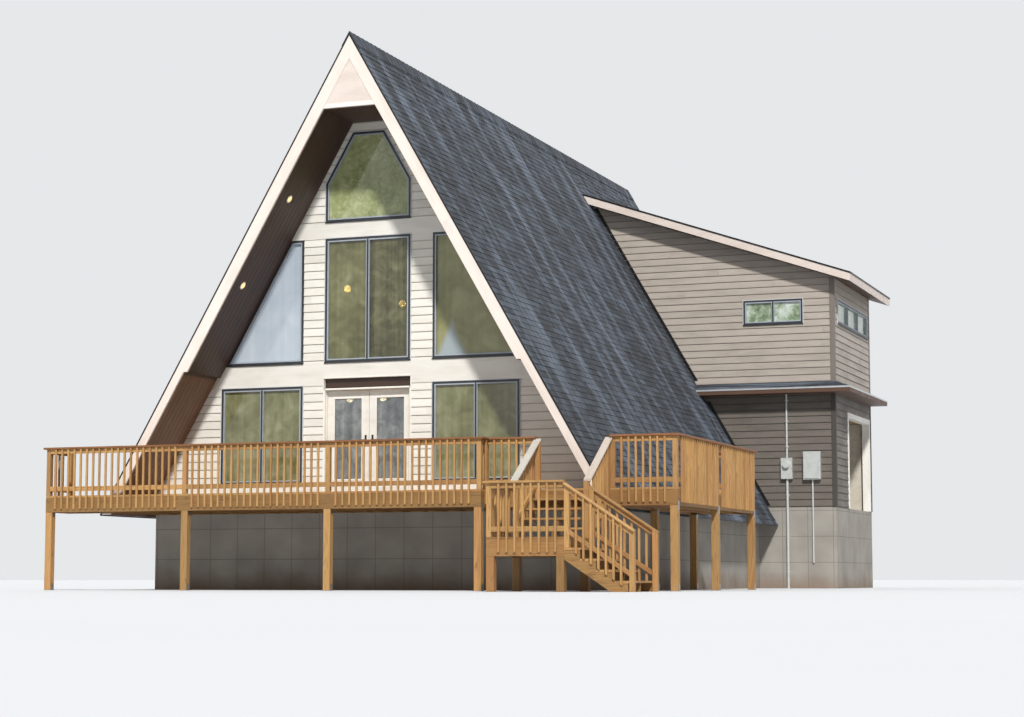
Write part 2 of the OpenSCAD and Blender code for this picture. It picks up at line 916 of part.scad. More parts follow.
// Frame of the wing's side window, which faces right
module side_frame() {
    z0 = deck_h + strip_sill;
    y0 = side_window_y - side_window_w / 2;
    y1 = y0 + side_window_w;
    hole = box2(y0, y1, z0, z0 + strip_h);
    side_plate(wing_reach + frame_out - frame_d, wing_reach + frame_out) difference() {
        polygon(hole);
        difference() {
            polygon(inset(hole, frame_w));
            for (i = [1, 2])
                translate([y0 + i * side_window_w / 3 - mullion_w / 2, 0]) square([mullion_w, apex_z]);
        }
    }
}

module wing_windows() {
    color(FRAME) place() {
        window_frame(wing_end_hole(), wing_y - frame_out, [wing_window_x]);
        window_frame(wing_end_hole(), back_y, [wing_window_x]);
        side_frame();
    }
}

module wing_glass() {
    z0 = deck_h + strip_sill;
    y0 = side_window_y - side_window_w / 2;
    hole = box2(y0, y0 + side_window_w, z0, z0 + strip_h);
    color(GLASS) place() {
        split_pane(wing_end_hole(), wing_y + glass_y, wing_window_x);
        split_pane(wing_end_hole(), house_l - glass_y - glass_t, wing_window_x);
        side_plate(wing_reach - glass_y - glass_t, wing_reach - glass_y) difference() {
            polygon(inset(hole, frame_w));
            for (i = [1, 2])
                translate([y0 + i * side_window_w / 3 - mullion_w / 2, 0]) square([mullion_w, apex_z]);
        }
    }
}

// Electric meter: a small box with a round glass dial
module meter_box() {
    color(WHITE) place() translate([wing_reach - meter_in, wing_y - meter_d, deck_h + meter_lift]) union() {
        cube([meter_w, meter_d, meter_h]);
        translate([meter_w / 2, 0, dial_lift]) rotate([90, 0, 0]) cylinder(r = dial_r, h = dial_d);
    }
}

// Breaker panel with a raised door
module panel_box() {
    color(WHITE) place() translate([wing_reach - panel_in, wing_y - panel_d, deck_h + panel_lift]) union() {
        cube([panel_w, panel_d, panel_h]);
        translate([lid_margin, -lid_t, lid_margin])
            cube([panel_w - 2 * lid_margin, lid_t, panel_h - 2 * lid_margin]);
    }
}

// Gaps between the joists of one rectangle of the deck
module joist_bays(x0, x1, y0, y1) {
    bays = round((x1 - x0) / joist_pitch);
    step = (x1 - x0 - joist_w) / bays;
    for (i = [0 : bays - 1])
        translate([x0 + joist_w + i * step, y0 + joist_w])
            square([step - joist_w, y1 - y0 - 2 * joist_w]);
}

module framed(rects) {
    difference() {
        union() {
            for (r = rects)
                translate([r[0], r[2]]) square([r[1] - r[0], r[3] - r[2]]);
        }
        for (r = rects)
            joist_bays(r[0], r[1], r[2], r[3]);
    }
}

module deck_frame() {
    color(PINE) place() slab(joist_z, joist_z + joist_h) framed([
        [-deck_left, -frame_in, -deck_depth, porch_y],
        [-frame_in, deck_jog, -deck_depth, 0],
        [deck_jog, frame_in, -side_depth, 0]
    ]);
}

module side_deck_frame() {
    color(PINE) place() slab(joist_z, joist_z + joist_h) framed([
        [frame_in, side_frame_in, -side_depth, porch_y],
        [side_frame_in, side_reach, -side_depth, side_l]
    ]);
}

module deck_floor() {
    color(PINE) place() slab(deck_h - board_t, deck_h) polygon([
        [-deck_left, -deck_depth],
        [deck_jog, -deck_depth],
        [deck_jog, -side_depth],
        [deck_in, -side_depth],
        [deck_in, 0],
        [-deck_in, 0],
        [-deck_in, porch_y],
        [-deck_left, porch_y]
    ]);
}

module side_deck_floor() {
    color(PINE) place() slab(deck_h - board_t, deck_h) polygon([
        [deck_in, -side_depth],
        [side_reach, -side_depth],
        [side_reach, side_l],
        [side_in, side_l],
        [side_in, porch_y],
        [deck_in, porch_y]
    ]);
}

module leg(x, y, z) {
    translate([x, y, 0]) cube([leg_w, leg_w, z]);
}

module deck_posts() {
    front_gap = (deck_left + deck_jog - leg_w) / (front_legs - 1);
    side_gap = (side_l + side_depth - leg_w) / (side_legs - 1);
    color(PINE) place() {
        for (i = [0 : front_legs - 1])
            leg(-deck_left + i * front_gap, -deck_depth, joist_z);
        for (i = [0 : side_legs - 1])
            leg(side_reach - leg_w, -side_depth + i * side_gap, joist_z);
        for (i = [1 : side_legs - 1])
            leg(side_frame_in, -side_depth + i * side_gap, joist_z);
    }
}

// Upright layer of a railing, which lies along X; its outer side looks along -Y
module layer(y0, t) {
    translate([0, y0 + t, 0]) rotate([90, 0, 0]) linear_extrude(t) children();
}

// Flat rail on top, from u0 to u1. Everything in a railing may fall along X by a
// share f of its length; the posts and bars run up into the flat rail.
module cap_rail(u0, u1, high, f) {
    layer(-cap_out, cap_w) polygon(bar2(u0, u1, high - cap_t, high, f));
}

module rail_post(u, foot, high, f) {
    top = high - cap_t / 2;
    layer(0, post_w) polygon([
        [u, foot],
        [u + post_w, foot],
        [u + post_w, top - f * (u + post_w)],
        [u, top - f * u]
    ]);
}

// Two bars between two posts, and balusters that lap over the deck's edge
module rail_bay(a, b, high, f, drop = board_t + baluster_drop) {
    count = max(1, round((b - a) / baluster_pitch) - 1);
    gap = (b - a) / (count + 1);
    top = high - cap_t / 2;
    layer(0, baluster_w) {
        polygon(bar2(a, b, high - cap_t - bar_h, top, f));
        polygon(bar2(a, b, bar_lift, bar_lift + bar_h, f));
    }
    for (i = [1 : count])
        layer(-baluster_w, baluster_w) polygon(bar2(
            a + i * gap - baluster_w / 2, a + i * gap + baluster_w / 2,
            -drop, top, f));
}

// Level railing with posts at equal distances, from X = 0
module level_railing(l, posts) {
    gap = (l - post_w) / (posts - 1);
    cap_rail(0, l, rail_h, 0);
    for (i = [0 : posts - 1])
        rail_post(i * gap, 0, rail_h, 0);
    for (i = [1 : posts - 1])
        rail_bay((i - 1) * gap + post_w, i * gap, rail_h, 0);
}

module front_railing() {
    color(PINE) place() translate([-deck_left, -deck_depth, deck_h]) union() {
        level_railing(deck_left + deck_jog, front_posts);
        cap_rail(-cap_out, deck_left + deck_jog + cap_out, rail_h, 0);
    }
}

// Runs back from the front railing's left post to the roof
module left_railing() {
    l = deck_depth + porch_y;
    color(PINE) place() translate([-deck_left, porch_y, deck_h]) rotate([0, 0, -90]) union() {
        cap_rail(0, l - post_w, rail_h, 0);
        rail_post(0, 0, rail_h, 0);
        rail_bay(post_w, l - post_w, rail_h, 0);
    }
}

// Follows the step in the deck's front edge as far as the stairs
module corner_railing() {
    step = deck_depth - side_depth;
    l = stair_x - deck_jog + post_w;
    color(PINE) place() union() {
        translate([deck_jog - post_w, -side_depth, deck_h])
            level_railing(l, 2);
        translate([deck_jog, -deck_depth, deck_h]) rotate([0, 0, 90]) {
            cap_rail(post_w, step + post_w, rail_h, 0);
            rail_bay(post_w, step, rail_h, 0);
        }
    }
}

module side_railing() {
    l = side_depth + side_l;
    color(PINE) place() translate([side_reach, -side_depth, deck_h]) rotate([0, 0, 90]) union() {
        level_railing(l, side_posts);
        cap_rail(-cap_out, l + cap_out, rail_h, 0);
    }
}

// The side deck's front railing, from the stairs to the corner, and its rear one
module side_end_railings() {
    front_l = side_reach - stair_end_x;
    rear_l = side_reach - side_in;
    color(PINE) place() {
        translate([stair_end_x, -side_depth, deck_h]) union() {
            cap_rail(0, front_l - post_w, rail_h, 0);
            rail_post(0, 0, rail_h, 0);
            rail_bay(post_w, front_l - post_w, rail_h, 0);
        }
        translate([side_reach, side_l, deck_h]) rotate([0, 0, 180]) union() {
            cap_rail(post_w, rear_l, rail_h, 0);
            rail_post(rear_l - post_w, 0, rail_h, 0);
            rail_bay(post_w, rear_l - post_w, rail_h, 0);
        }
    }
}

// Side board of a flight, cut in steps, drawn from its top end; the first step
// down is at u = 0 and v = 0 is the level that the flight leaves
module stringer(bottom) {
    steps = risers - 1;
    polygon(concat(
        [for (i = [1 : steps], j = [0, 1])
            [(i - 1 + j) * tread_run, -i * rise - board_t]],
        [[steps * tread_run, bottom]],
        bottom < -risers * rise + 1 ?
            [[(risers * rise - board_z - throat) / fall, bottom]] :
            [],
        [[0, -board_z - throat]]
    ));
}

// Place of a flight, which is drawn along X from its top edge
module upper_flight() {
    translate([stair_x, -side_depth, deck_h]) rotate([0, 0, -90]) children();
}

module lower_flight() {
    translate([stair_end_x, landing_front, landing_z]) children();
}

module treads() {
    for (i = [1 : risers - 1])
        block((i - 1) * tread_run, i * tread_run + nosing, 0, stair_w,
            -i * rise - board_t, -i * rise);
}

module stringers(bottom) {
    gap = (stair_w - joist_w) / 2;
    for (i = [0 : 2])
        layer(i * gap, joist_w) stringer(bottom);
}

module stair_treads() {
    color(PINE) place() {
        upper_flight() treads();
        lower_flight() treads();
    }
}

module stair_stringers() {
    color(PINE) place() {
        upper_flight() stringers(-(risers - 1) * rise - board_z - throat);
        lower_flight() stringers(-landing_z);
    }
}

module landing() {
    z0 = landing_z - board_t - joist_h;
    color(PINE) place() union() {
        slab(z0, z0 + joist_h) framed([[stair_x, stair_end_x, landing_front, landing_y]]);
        block(stair_x, stair_end_x, landing_front, landing_y, landing_z - board_t, landing_z);
        for (x = [stair_x, stair_end_x - leg_w], y = [landing_front, landing_y - leg_w])
            leg(x, y, z0);
    }
}

module landing_front_railing() {
    color(PINE) place() translate([stair_x, landing_front, landing_z]) union() {
        cap_rail(-cap_out, stair_w, rail_h, 0);
        rail_post(0, 0, rail_h, 0);
        rail_bay(post_w, stair_w, rail_h, 0);
    }
}

// From the upper flight's foot to the landing's corner post
module landing_side_railing() {
    a = nosing + post_w;
    b = stair_w - post_w;
    color(PINE) place() translate([stair_x, landing_y, landing_z]) rotate([0, 0, -90]) union() {
        cap_rail(a, b, rail_h, 0);
        rail_bay(a, b, rail_h, 0);
    }
}

// Falling railing of one flight, from a post on its first tread to one at its foot
module flight_railing() {
    high = rail_h - cap_t;
    foot_u = flight_l + nosing;
    cap_rail(0, foot_u + post_w, high, fall);
    rail_post(0, -rise, high, fall);
    rail_post(foot_u, -risers * rise, high, fall);
    rail_bay(post_w, foot_u, high, fall, stair_drop);
}

// The railings on both sides of a flight
module flight_railings() {
    flight_railing();
    translate([0, stair_w, 0]) mirror([0, 1, 0]) flight_railing();
}

module upper_handrails() {
    color(PINE) place() upper_flight() flight_railings();
}

module lower_handrails() {
    color(PINE) place() lower_flight() flight_railings();
}

foundation();
ground_floor();
upper_floor();
front_wall_left();
front_wall_right();
front_wall_upper();
back_wall();
wall_bands();
roof_left();
roof_right();
ridge_cap();
rake_boards_left();
rake_boards_right();
gable_peaks();
soffit_left();
soffit_right();
front_windows();
front_glass();
back_windows();
back_glass();
door_frame();
door_hinges();
front_door_left();
front_door_right();
door_glass_left();
door_glass_right();
wing_foundation();
wing_front_lower();
wing_side_lower();
bay_inner_wall();
wing_front_upper();
wing_side_upper();
wing_back_wall();
wing_floor();
wing_roof();
wing_fascia();
pent_roof();
wing_windows();
wing_glass();
meter_box();
panel_box();
deck_frame();
deck_floor();
side_deck_frame();
side_deck_floor();
deck_posts();
front_railing();
left_railing();
corner_railing();
side_railing();
side_end_railings();
stair_treads();
stair_stringers();
landing();
upper_handrails();
lower_handrails();
landing_front_railing();
landing_side_railing();
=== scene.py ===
"""Looks of the a-frame cabin: shingles, lap siding, windows, doors, decks, stairs and railings.

Metres. X runs across the front, Y from the front to the back, Z is up from the ground.
"""
import math
import random

import bmesh
import bpy
from mathutils import Matrix, Vector


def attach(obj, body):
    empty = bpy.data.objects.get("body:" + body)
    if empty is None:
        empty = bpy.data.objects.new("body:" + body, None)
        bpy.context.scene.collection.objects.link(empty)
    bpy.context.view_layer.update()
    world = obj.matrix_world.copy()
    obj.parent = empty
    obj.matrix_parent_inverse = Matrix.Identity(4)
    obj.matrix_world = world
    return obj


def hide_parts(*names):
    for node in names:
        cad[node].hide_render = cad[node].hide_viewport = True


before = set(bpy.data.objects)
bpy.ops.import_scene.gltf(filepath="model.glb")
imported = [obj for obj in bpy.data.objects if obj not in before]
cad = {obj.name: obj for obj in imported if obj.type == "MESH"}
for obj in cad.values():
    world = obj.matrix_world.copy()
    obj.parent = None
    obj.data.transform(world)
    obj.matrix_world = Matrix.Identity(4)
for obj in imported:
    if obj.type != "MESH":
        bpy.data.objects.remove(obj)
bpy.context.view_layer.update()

# Sizes that the pieces share, as in the CAD part
APEX, EAVE = 10.81, 1.49            # ridge and eave of the main roof
FRONT, BACK = -7.75, 7.75           # faces of the two gable walls
RAKE_FRONT, RAKE_BACK = -9.10, 8.90     # ends of the main roof
STEEP = math.tan(math.radians(60))
OVER, UP = 0.5, math.sqrt(0.75)     # run and rise of one metre along a main slope
ROOF, LINED = 0.20785, 0.28868      # the roof's thickness and its lined thickness, level
NOTCH, FLAT = 4.29, 9.36            # where the lining starts, and the flat soffit
DECK, FLOOR, LANDING = 1.84, 1.91, 0.92
MID = -0.2                          # middle of the window group
WING_FRONT, WING_SIDE = 3.49, 6.795
WING_TOP_X, WING_TOP = 0.6351, 9.71     # where the wing's roof starts on the main slope
WING_EAVE, WING_ROOF_FRONT, WING_ROOF_BACK = 7.245, 3.14, 8.10
WING_SLOPE = math.radians(19)
SHALLOW = math.tan(WING_SLOPE)
WING_DROP = 0.2 / math.cos(WING_SLOPE)
PENT_FRONT, PENT_LOW, PENT_OUT, PENT_RISE = 3.04, 4.72, 0.45, 0.16      # small roof round the wing
PLANK = 0.038                       # thickness of sawn boards: edge boards, decking, treads and joists
RISE, RUN = 0.184, 0.28             # risers and treads
FALL = RISE / RUN
LAP, JOINT = 0.165, 0.0015          # height of a siding course, and half the gap between two lapped boards
FAR_LEFT = -20                      # rows of lapped boards are laid out from here, and cut to the walls
SIDING_FOOT, WING_FOOT = 1.60, 1.92     # lower ends of the siding, on the gables and on the wing
SIDING = (LAP, 0.019, 0.004, 3.66, SIDING_FOOT)     # height, butt, lip, length and first foot of a course
TABS = (0.143, 0.011, 0.002, 0.3, 0.0)          # the same for the small roof's shingles


def roof_x(z):
    """Distance from the ridge line to the main slope's surface, at a height."""
    return (APEX - z) / STEEP


def wing_top(x):
    """Height of the wing roof's surface."""
    return WING_TOP - SHALLOW * (x - WING_TOP_X)


def wing_under(x):
    return wing_top(x) - WING_DROP


# Finishes

def rgb(code):
    """Colour of a hex code, made linear."""
    parts = [int(code[i:i + 2], 16) / 255 for i in (0, 2, 4)]
    return tuple(p / 12.92 if p <= 0.04045 else ((p + 0.055) / 1.055) ** 2.4 for p in parts) + (1,)


class Finish:
    """A node material. Each pattern is one call, and the last calls feed the shader."""

    def __init__(self, name, rough, source="Object", **sockets):
        self.material = bpy.data.materials.new(name)
        self.material.use_nodes = True
        self.tree = self.material.node_tree
        self.shader = self.tree.nodes["Principled BSDF"]
        self.shader.inputs["Roughness"].default_value = rough
        for socket, value in sockets.items():
            self.shader.inputs[socket.replace("_", " ")].default_value = value
        self.tone = self.node("Attribute", attribute_name="tone").outputs["Fac"]
        if source == "Object":
            self.here = self.node("TexCoord").outputs["Object"]
        else:
            grain = self.node("Attribute", attribute_name="grain").outputs["Vector"]
            shift = self.node("VectorMath", {0: (31.7, 11.3, 5.1)}, operation="SCALE")
            self.tree.links.new(self.tone, shift.inputs["Scale"])
            self.here = self.node("VectorMath", {0: grain, 1: shift.outputs[0]}, operation="ADD").outputs[0]

    def node(self, kind, sockets=None, **settings):
        made = self.tree.nodes.new("ShaderNode" + kind)
        for key, value in settings.items():
            setattr(made, key, value)
        for key, value in (sockets or {}).items():
            if isinstance(value, bpy.types.NodeSocket):
                self.tree.links.new(value, made.inputs[key])
            else:
                made.inputs[key].default_value = value
        return made

    def stretch(self, scale):
        return self.node("Mapping", {"Vector": self.here, "Scale": scale}).outputs[0]

    def noise(self, scale, stretch=(1, 1, 1), detail=3.0, warp=0.0):
        return self.node("TexNoise", {"Vector": self.stretch(stretch), "Scale": scale,
                                      "Detail": detail, "Distortion": warp}).outputs["Fac"]

    def cells(self, scale, stretch=(1, 1, 1)):
        return self.node("TexVoronoi", {"Vector": self.stretch(stretch), "Scale": scale}).outputs["Distance"]

    def math(self, kind, a, b=0.0):
        return self.node("Math", {0: a, 1: b}, operation=kind).outputs[0]

    def part(self, axis):
        """One coordinate of the pattern's place."""
        return self.node("SeparateXYZ", {0: self.here}).outputs[axis]

    def ramp(self, amount, *stops):
        made = self.node("ValToRGB", {"Fac": amount})
        line = made.color_ramp.elements
        while len(line) < len(stops):
            line.new(0.5)
        for mark, (at, colour) in zip(line, stops):
            mark.position = at
            mark.color = rgb(colour) if isinstance(colour, str) else (colour, colour, colour, 1)
        return made.outputs[0]

    def mix(self, a, b, amount):
        made = self.node("Mix", data_type="RGBA")
        for index, value in ((0, amount), (6, a), (7, b)):
            if isinstance(value, str):
                value = rgb(value)
            if isinstance(value, bpy.types.NodeSocket):
                self.tree.links.new(value, made.inputs[index])
            else:
                made.inputs[index].default_value = value
        return made.outputs[2]

    def shade(self, colour, amount):
        """Makes each board a little lighter or darker, by its tone."""
        value = self.math("ADD", self.math("MULTIPLY", self.tone, 2 * amount), 1 - amount)
        return self.node("HueSaturation", {"Color": colour, "Value": value}).outputs[0]

    def end(self, colour, rough=None, height=None, depth=0.002, strength=0.6):
        """Feeds the shader its colour, roughness and bump, and gives the material."""
        self.tree.links.new(colour, self.shader.inputs["Base Color"])
        if rough is not None:
            self.tree.links.new(rough, self.shader.inputs["Roughness"])
        if height is not None:
            bump = self.node("Bump", {"Height": height, "Strength": strength, "Distance": depth})
            self.tree.links.new(bump.outputs[0], self.shader.inputs["Normal"])
        return self.material


def timber(name, light, middle, dark, source="grain", along=(1, 1, 1), amount=0.20, boards=0.0):
    """Sawn softwood: long growth rings, fine fibres and a few knots. A floor shows its boards' joints."""
    f = Finish(name, 0.62, source)

    def scaled(*scale):
        return tuple(a * b for a, b in zip(scale, along))
    rings = f.noise(1.0, scaled(0.45, 7, 7), 1.5, 0.5)
    bands = f.math("PINGPONG", f.math("MULTIPLY", rings, 9.0), 0.5)
    fibre = f.noise(1.0, scaled(5, 260, 260), 3.0)
    body = f.ramp(bands, (0.0, middle), (0.22, light), (0.5, light))
    body = f.mix(light, body, f.ramp(f.noise(1.0, scaled(0.6, 4, 4), 2.0), (0.35, 0.25), (0.65, 0.95)))
    body = f.mix(body, dark, f.ramp(fibre, (0.42, 0.26), (0.60, 0.0)))
    knots = f.cells(1.0, scaled(1.3, 6.0, 6.0))
    body = f.mix(body, dark, f.ramp(knots, (0.035, 0.9), (0.10, 0.0)))
    blotch = f.noise(1.0, scaled(0.5, 2.5, 2.5), 2.0)
    body = f.mix(body, middle, f.ramp(blotch, (0.45, 0.0), (0.75, 0.5)))
    warm = f.math("PINGPONG", f.math("MULTIPLY", f.tone, 7.3), 0.5)
    body = f.mix(body, "a5673a", f.ramp(warm, (0.30, 0.0), (0.50, 0.32)))
    if boards:
        joint = f.math("DIVIDE", f.math("PINGPONG", f.part(1), boards / 2), boards)
        body = f.mix(body, dark, f.ramp(joint, (0.0, 0.95), (0.03, 0.0)))
    return f.end(f.shade(body, amount), f.ramp(fibre, (0.3, 0.75), (0.8, 0.5)), fibre, 0.0015, 0.3)


def painted(name, colour, worn, rough=0.55, source="grain", stretch=(5, 110, 110), lap_shade=None):
    """Painted board with a pressed grain, thin dirt and a little fading. A lapped board gets a strip of
    painted shade under the next board's edge.
    """
    f = Finish(name, rough, source)
    grain = f.noise(1.0, stretch, 4.0, 0.4)
    dirt = f.noise(1.0, (1.3, 5, 5), 4.0)
    body = f.mix(colour, worn, f.ramp(dirt, (0.42, 0.0), (0.72, 0.55)))
    body = f.mix(body, worn, f.ramp(grain, (0.52, 0.0), (0.70, 0.4)))
    if lap_shade:
        # Painted shade: the strip under the next board's edge is darkened, and the board's own lowest 3 cm
        # are tinted towards the worn colour
        place = f.node("Attribute", attribute_name="grain").outputs["Vector"]
        across = f.node("SeparateXYZ", {0: place}).outputs[1]
        body = f.mix(body, lap_shade, f.ramp(across, (LAP - 0.020, 0.0), (LAP - 0.010, 0.75)))
        body = f.mix(body, worn, f.ramp(across, (0.0, 0.6), (0.03, 0.0)))
    body = f.shade(body, 0.04)
    dull = f.ramp(dirt, (0.3, rough - 0.08), (0.7, rough + 0.1))
    return f.end(body, dull, grain, 0.0012, 0.4)


def roof_finish():
    """Asphalt shingles: each tab has its own tone, with pale and dark grit, dark patches, and pale streaks of
    painted sunlight.
    """
    f = Finish("charcoal_shingles", 0.85)
    grit = f.noise(420.0, detail=2.0)
    patch = f.noise(1.0, (2.2, 2.2, 2.2), 3.0)
    sun_streaks = f.noise(1.0, (0.30, 2.3, 0.30), 5.0, 0.35)
    thin = f.noise(1.0, (0.5, 9.0, 0.5), 3.0, 0.2)
    body = f.ramp(f.tone, (0.0, "202329"), (0.35, "292e35"), (0.7, "353b44"), (1.0, "474f5a"))
    body = f.mix(body, "1e2126", f.ramp(patch, (0.30, 0.5), (0.55, 0.0)))
    broad = f.ramp(sun_streaks, (0.47, 0.0), (0.66, 1.0))
    pale = f.math("MULTIPLY", broad, f.ramp(thin, (0.34, 0.4), (0.60, 1.0)))
    # Painted sunlight: pale streaks of dappled sun, strong on the right slope only
    right = f.ramp(f.part(0), (0.0, 0.15), (0.2, 0.46))
    body = f.mix(body, "8f9aab", f.math("MULTIPLY", pale, right))
    body = f.mix(body, "868c97", f.ramp(grit, (0.60, 0.0), (0.72, 0.45)))
    body = f.mix(body, "191b1f", f.ramp(grit, (0.30, 0.5), (0.42, 0.0)))
    return f.end(body, None, grit, 0.0015, 0.7)


def soffit_finish(name, light, dark):
    """Stained soffit boards with a fine grain along them."""
    f = Finish(name, 0.5, "grain")
    grain = f.noise(1.0, (2.2, 60, 60), 3.0, 0.5)
    body = f.ramp(grain, (0.3, dark), (0.7, light))
    return f.end(f.shade(body, 0.12), None, grain, 0.001, 0.4)


def concrete_finish():
    """Poured concrete: form panels 0.61 m apart with thin joints, pores, and soil splashed on its foot."""
    f = Finish("cast_concrete", 0.88)
    cloud = f.noise(1.4, detail=5.0)
    pores = f.cells(55.0)
    speck = f.noise(160.0, detail=2.0)
    body = f.ramp(cloud, (0.3, "8b867f"), (0.55, "9a958d"), (0.8, "a7a29a"))
    joints = None
    for axis in range(3):
        edge = f.ramp(f.math("PINGPONG", f.part(axis), 0.305), (0.0, 1.0), (0.012, 0.0))
        joints = edge if joints is None else f.math("MAXIMUM", joints, edge)
    body = f.mix(body, "5f5a54", f.math("MULTIPLY", joints, 0.7))
    body = f.mix(body, "5d5852", f.ramp(pores, (0.03, 0.5), (0.09, 0.0)))
    soil = f.math("ADD", f.part(2), f.math("MULTIPLY", cloud, 0.35))
    body = f.mix(body, "7a5f49", f.ramp(soil, (0.18, 0.6), (0.55, 0.0)))
    high = f.math("ADD", f.math("MULTIPLY", pores, 0.4), f.math("MULTIPLY", speck, 0.4))
    return f.end(body, None, f.math("SUBTRACT", high, joints), 0.003, 0.5)


def metal_finish(name, colour, worn, rough, metallic):
    f = Finish(name, rough, Metallic=metallic)
    mottle = f.noise(9.0, detail=4.0)
    scratch = f.noise(1.0, (60, 60, 600), 3.0)
    body = f.mix(colour, worn, f.ramp(mottle, (0.45, 0.0), (0.8, 0.6)))
    return f.end(body, f.ramp(scratch, (0.3, rough - 0.1), (0.7, rough + 0.15)), scratch, 0.0004, 0.3)


def glass_finish(name, colours, broad, mottle, bands, steps=(0.36, 0.46, 0.54, 0.66), leaf_glints=0.0, patch=None):
    """Window glass whose colour is a painted reflection: soft clouds, mottling, upright bands of trunks and
    bright specks of leaves.
    """
    f = Finish(name, 0.03, Transmission_Weight=0.3, IOR=1.5, Coat_Weight=0.6, Coat_Roughness=0.01)
    upright = f.math("MULTIPLY", f.noise(1.0, (8.0, 8.0, 0.10), 2.5, 0.15), bands)
    soft = f.math("MULTIPLY", f.noise(1.0, (broad,) * 3, 4.0, 0.6), 0.6 - bands)
    fine = f.math("MULTIPLY", f.noise(1.0, (mottle,) * 3, 8.0, 0.8), 0.4)
    body = f.ramp(f.math("ADD", f.math("ADD", upright, soft), fine), *zip(steps, colours.split()))
    if leaf_glints:
        spots = f.ramp(f.cells(1.0, (mottle * 3.0,) * 3), (0.08, 1.0), (0.42, 0.0))
        where = f.ramp(f.noise(1.0, (mottle * 0.22,) * 3, 3.0), (0.46, 0.0), (0.60, leaf_glints))
        body = f.mix(body, "d3dbbd", f.math("MULTIPLY", spots, where))
    if patch:
        # Painted reflection of the sky: a pale patch with a slanting outline, low in the pane
        x, z, wide, high = patch
        side = f.math("MULTIPLY", f.math("ABSOLUTE", f.math("SUBTRACT", f.part(0), x)), high / wide)
        left = f.math("SUBTRACT", high, f.math("ADD", f.math("SUBTRACT", f.part(2), z), side))
        left = f.math("ADD", left, f.math("MULTIPLY", f.noise(6.0, detail=3.0), 0.12))
        body = f.mix(body, "b4c2cc", f.ramp(left, (0.02, 0.0), (0.30, 0.85)))
    return f.end(body, None, f.noise(0.9, detail=0.0), 0.003, 0.08)


PINE = ("b68e58", "91693b", "624021")
pine = timber("treated_pine", *PINE)
# Framing, stringers and the landing get a darker copy of the pine, as painted shade under the deck
shaded_frame_pine = timber("deck_frame_pine", "94703f", "704f2a", "4a3018", amount=0.16)
pine_cap = timber("brown_cap", "8d5c33", "6f4424", "4a2d18", amount=0.12)
# The upper flight's handrail caps are pine made pale grey, as painted sunlight
sunlit_grey_pine = timber("sunlit_cap", "c9c4ba", "b0aaa0", "8c867c", amount=0.08)
pine_room = timber("floor_pine", *PINE, source="Object", along=(1, 0.6, 1), boards=0.13)
# The last colour of each lapped siding is the painted shade under its laps
cream = painted("cream_siding", "e5e2da", "d0cabf", lap_shade="8b857a")
# The wing's upper siding is darker than the gables' as painted shade: its taupe stands for the cream paint in
# shade
shaded_taupe = painted("taupe_siding", "aca298", "91887e", lap_shade="5c554e")
umber = painted("dark_siding", "6a625a", "4f4943", lap_shade="2f2b27")
sheathing = painted("wall_primer", "d3ccbd", "bdb4a2", source="Object", stretch=(9, 9, 9))
dark_sheathing = painted("dark_primer", "5f5850", "4a443e", source="Object", stretch=(9, 9, 9))
trim = painted("tan_trim", "e5dad1", "d2c3b8")
panel_tan = painted("tan_panel", "dfd2c9", "cbbaae", source="Object", stretch=(6, 6, 90))
band_tan = painted("cream_trim", "e7e4dd", "d3cdc2", source="Object", stretch=(4, 90, 90))
white = painted("white_paint", "efece5", "d8d2c6", 0.42)
white_wood = painted("white_frame", "ebe7df", "d2ccc0", 0.42, source="Object", stretch=(40, 40, 5))
# Painted shade: the dark brown of the strip at the top of the door's recess
brown_head = painted("brown_head", "3b271b", "2a1b12", 0.5)
shingles = roof_finish()
soffit = soffit_finish("soffit_brown", "4a3022", "301e15")
# The low soffit boards are the same stain in a lighter brown, as painted light
lit_low_soffit = soffit_finish("low_soffit_brown", "7c5a42", "5e402c")
under_deck = painted("roof_sheathing", "5a4030", "432e21", source="Object", stretch=(3, 30, 30))
concrete = concrete_finish()
bronze = metal_finish("bronze_frame", "34363a", "4a4d50", 0.42, 0.3)
grey_trim = metal_finish("pale_frame", "c9ccce", "aeb2b5", 0.45, 0.1)
bead_grey = metal_finish("glazing_bead", "a3abb3", "868d95", 0.45, 0.1)
black_metal = metal_finish("black_edge", "1d1d1f", "303034", 0.38, 0.5)
pale_metal = metal_finish("pale_edge", "c8cacb", "a9acae", 0.35, 0.5)
steel = metal_finish("zinc_steel", "9fa3a5", "7e8285", 0.35, 0.9)
box_grey = metal_finish("grey_box", "c3c5c2", "a9aba8", 0.45, 0.15)
# Every glass colour below is a painted reflection of woods and sky. The top pane's high glass is brighter
# still, as painted light against the rake's shadow
olive = glass_finish("olive_glass", "5a5a35 71704a 828159 9ea078", 1.0, 3.4, 0.24)
low_olive = glass_finish("low_glass", "6a6b47 84855e 969772 b3b693", 1.0, 3.4, 0.24)
dark_olive = glass_finish("dark_glass", "403e26 5b593b 72704f 959571", 1.0, 4.0, 0.38)
bright_olive = glass_finish("bright_glass", "81804c 94935e a2a16d b6b684", 0.8, 2.5, 0.2,
                            patch=(1.60, 4.52, 0.36, 0.80))
high_olive = glass_finish("high_glass", "828b55 9fa871 b8bf8b d8ddb4", 0.9, 7.0, 0.1,
                          (0.36, 0.46, 0.56, 0.66), leaf_glints=0.7)
pale_blue = glass_finish("blue_glass", "bccbd9 cfdbe7 e4ecf3", 0.7, 2.0, 0.3, (0.30, 0.50, 0.72))
pale_green = glass_finish("green_glass", "5d7350 8fa481 c4d4c0 eef3ee", 2.5, 8.0, 0.1,
                          (0.36, 0.46, 0.54, 0.64))
room_glass = glass_finish("door_glass", "565c60 7f8586 b3b6b5", 1.6, 5.0, 0.35, (0.36, 0.5, 0.66))


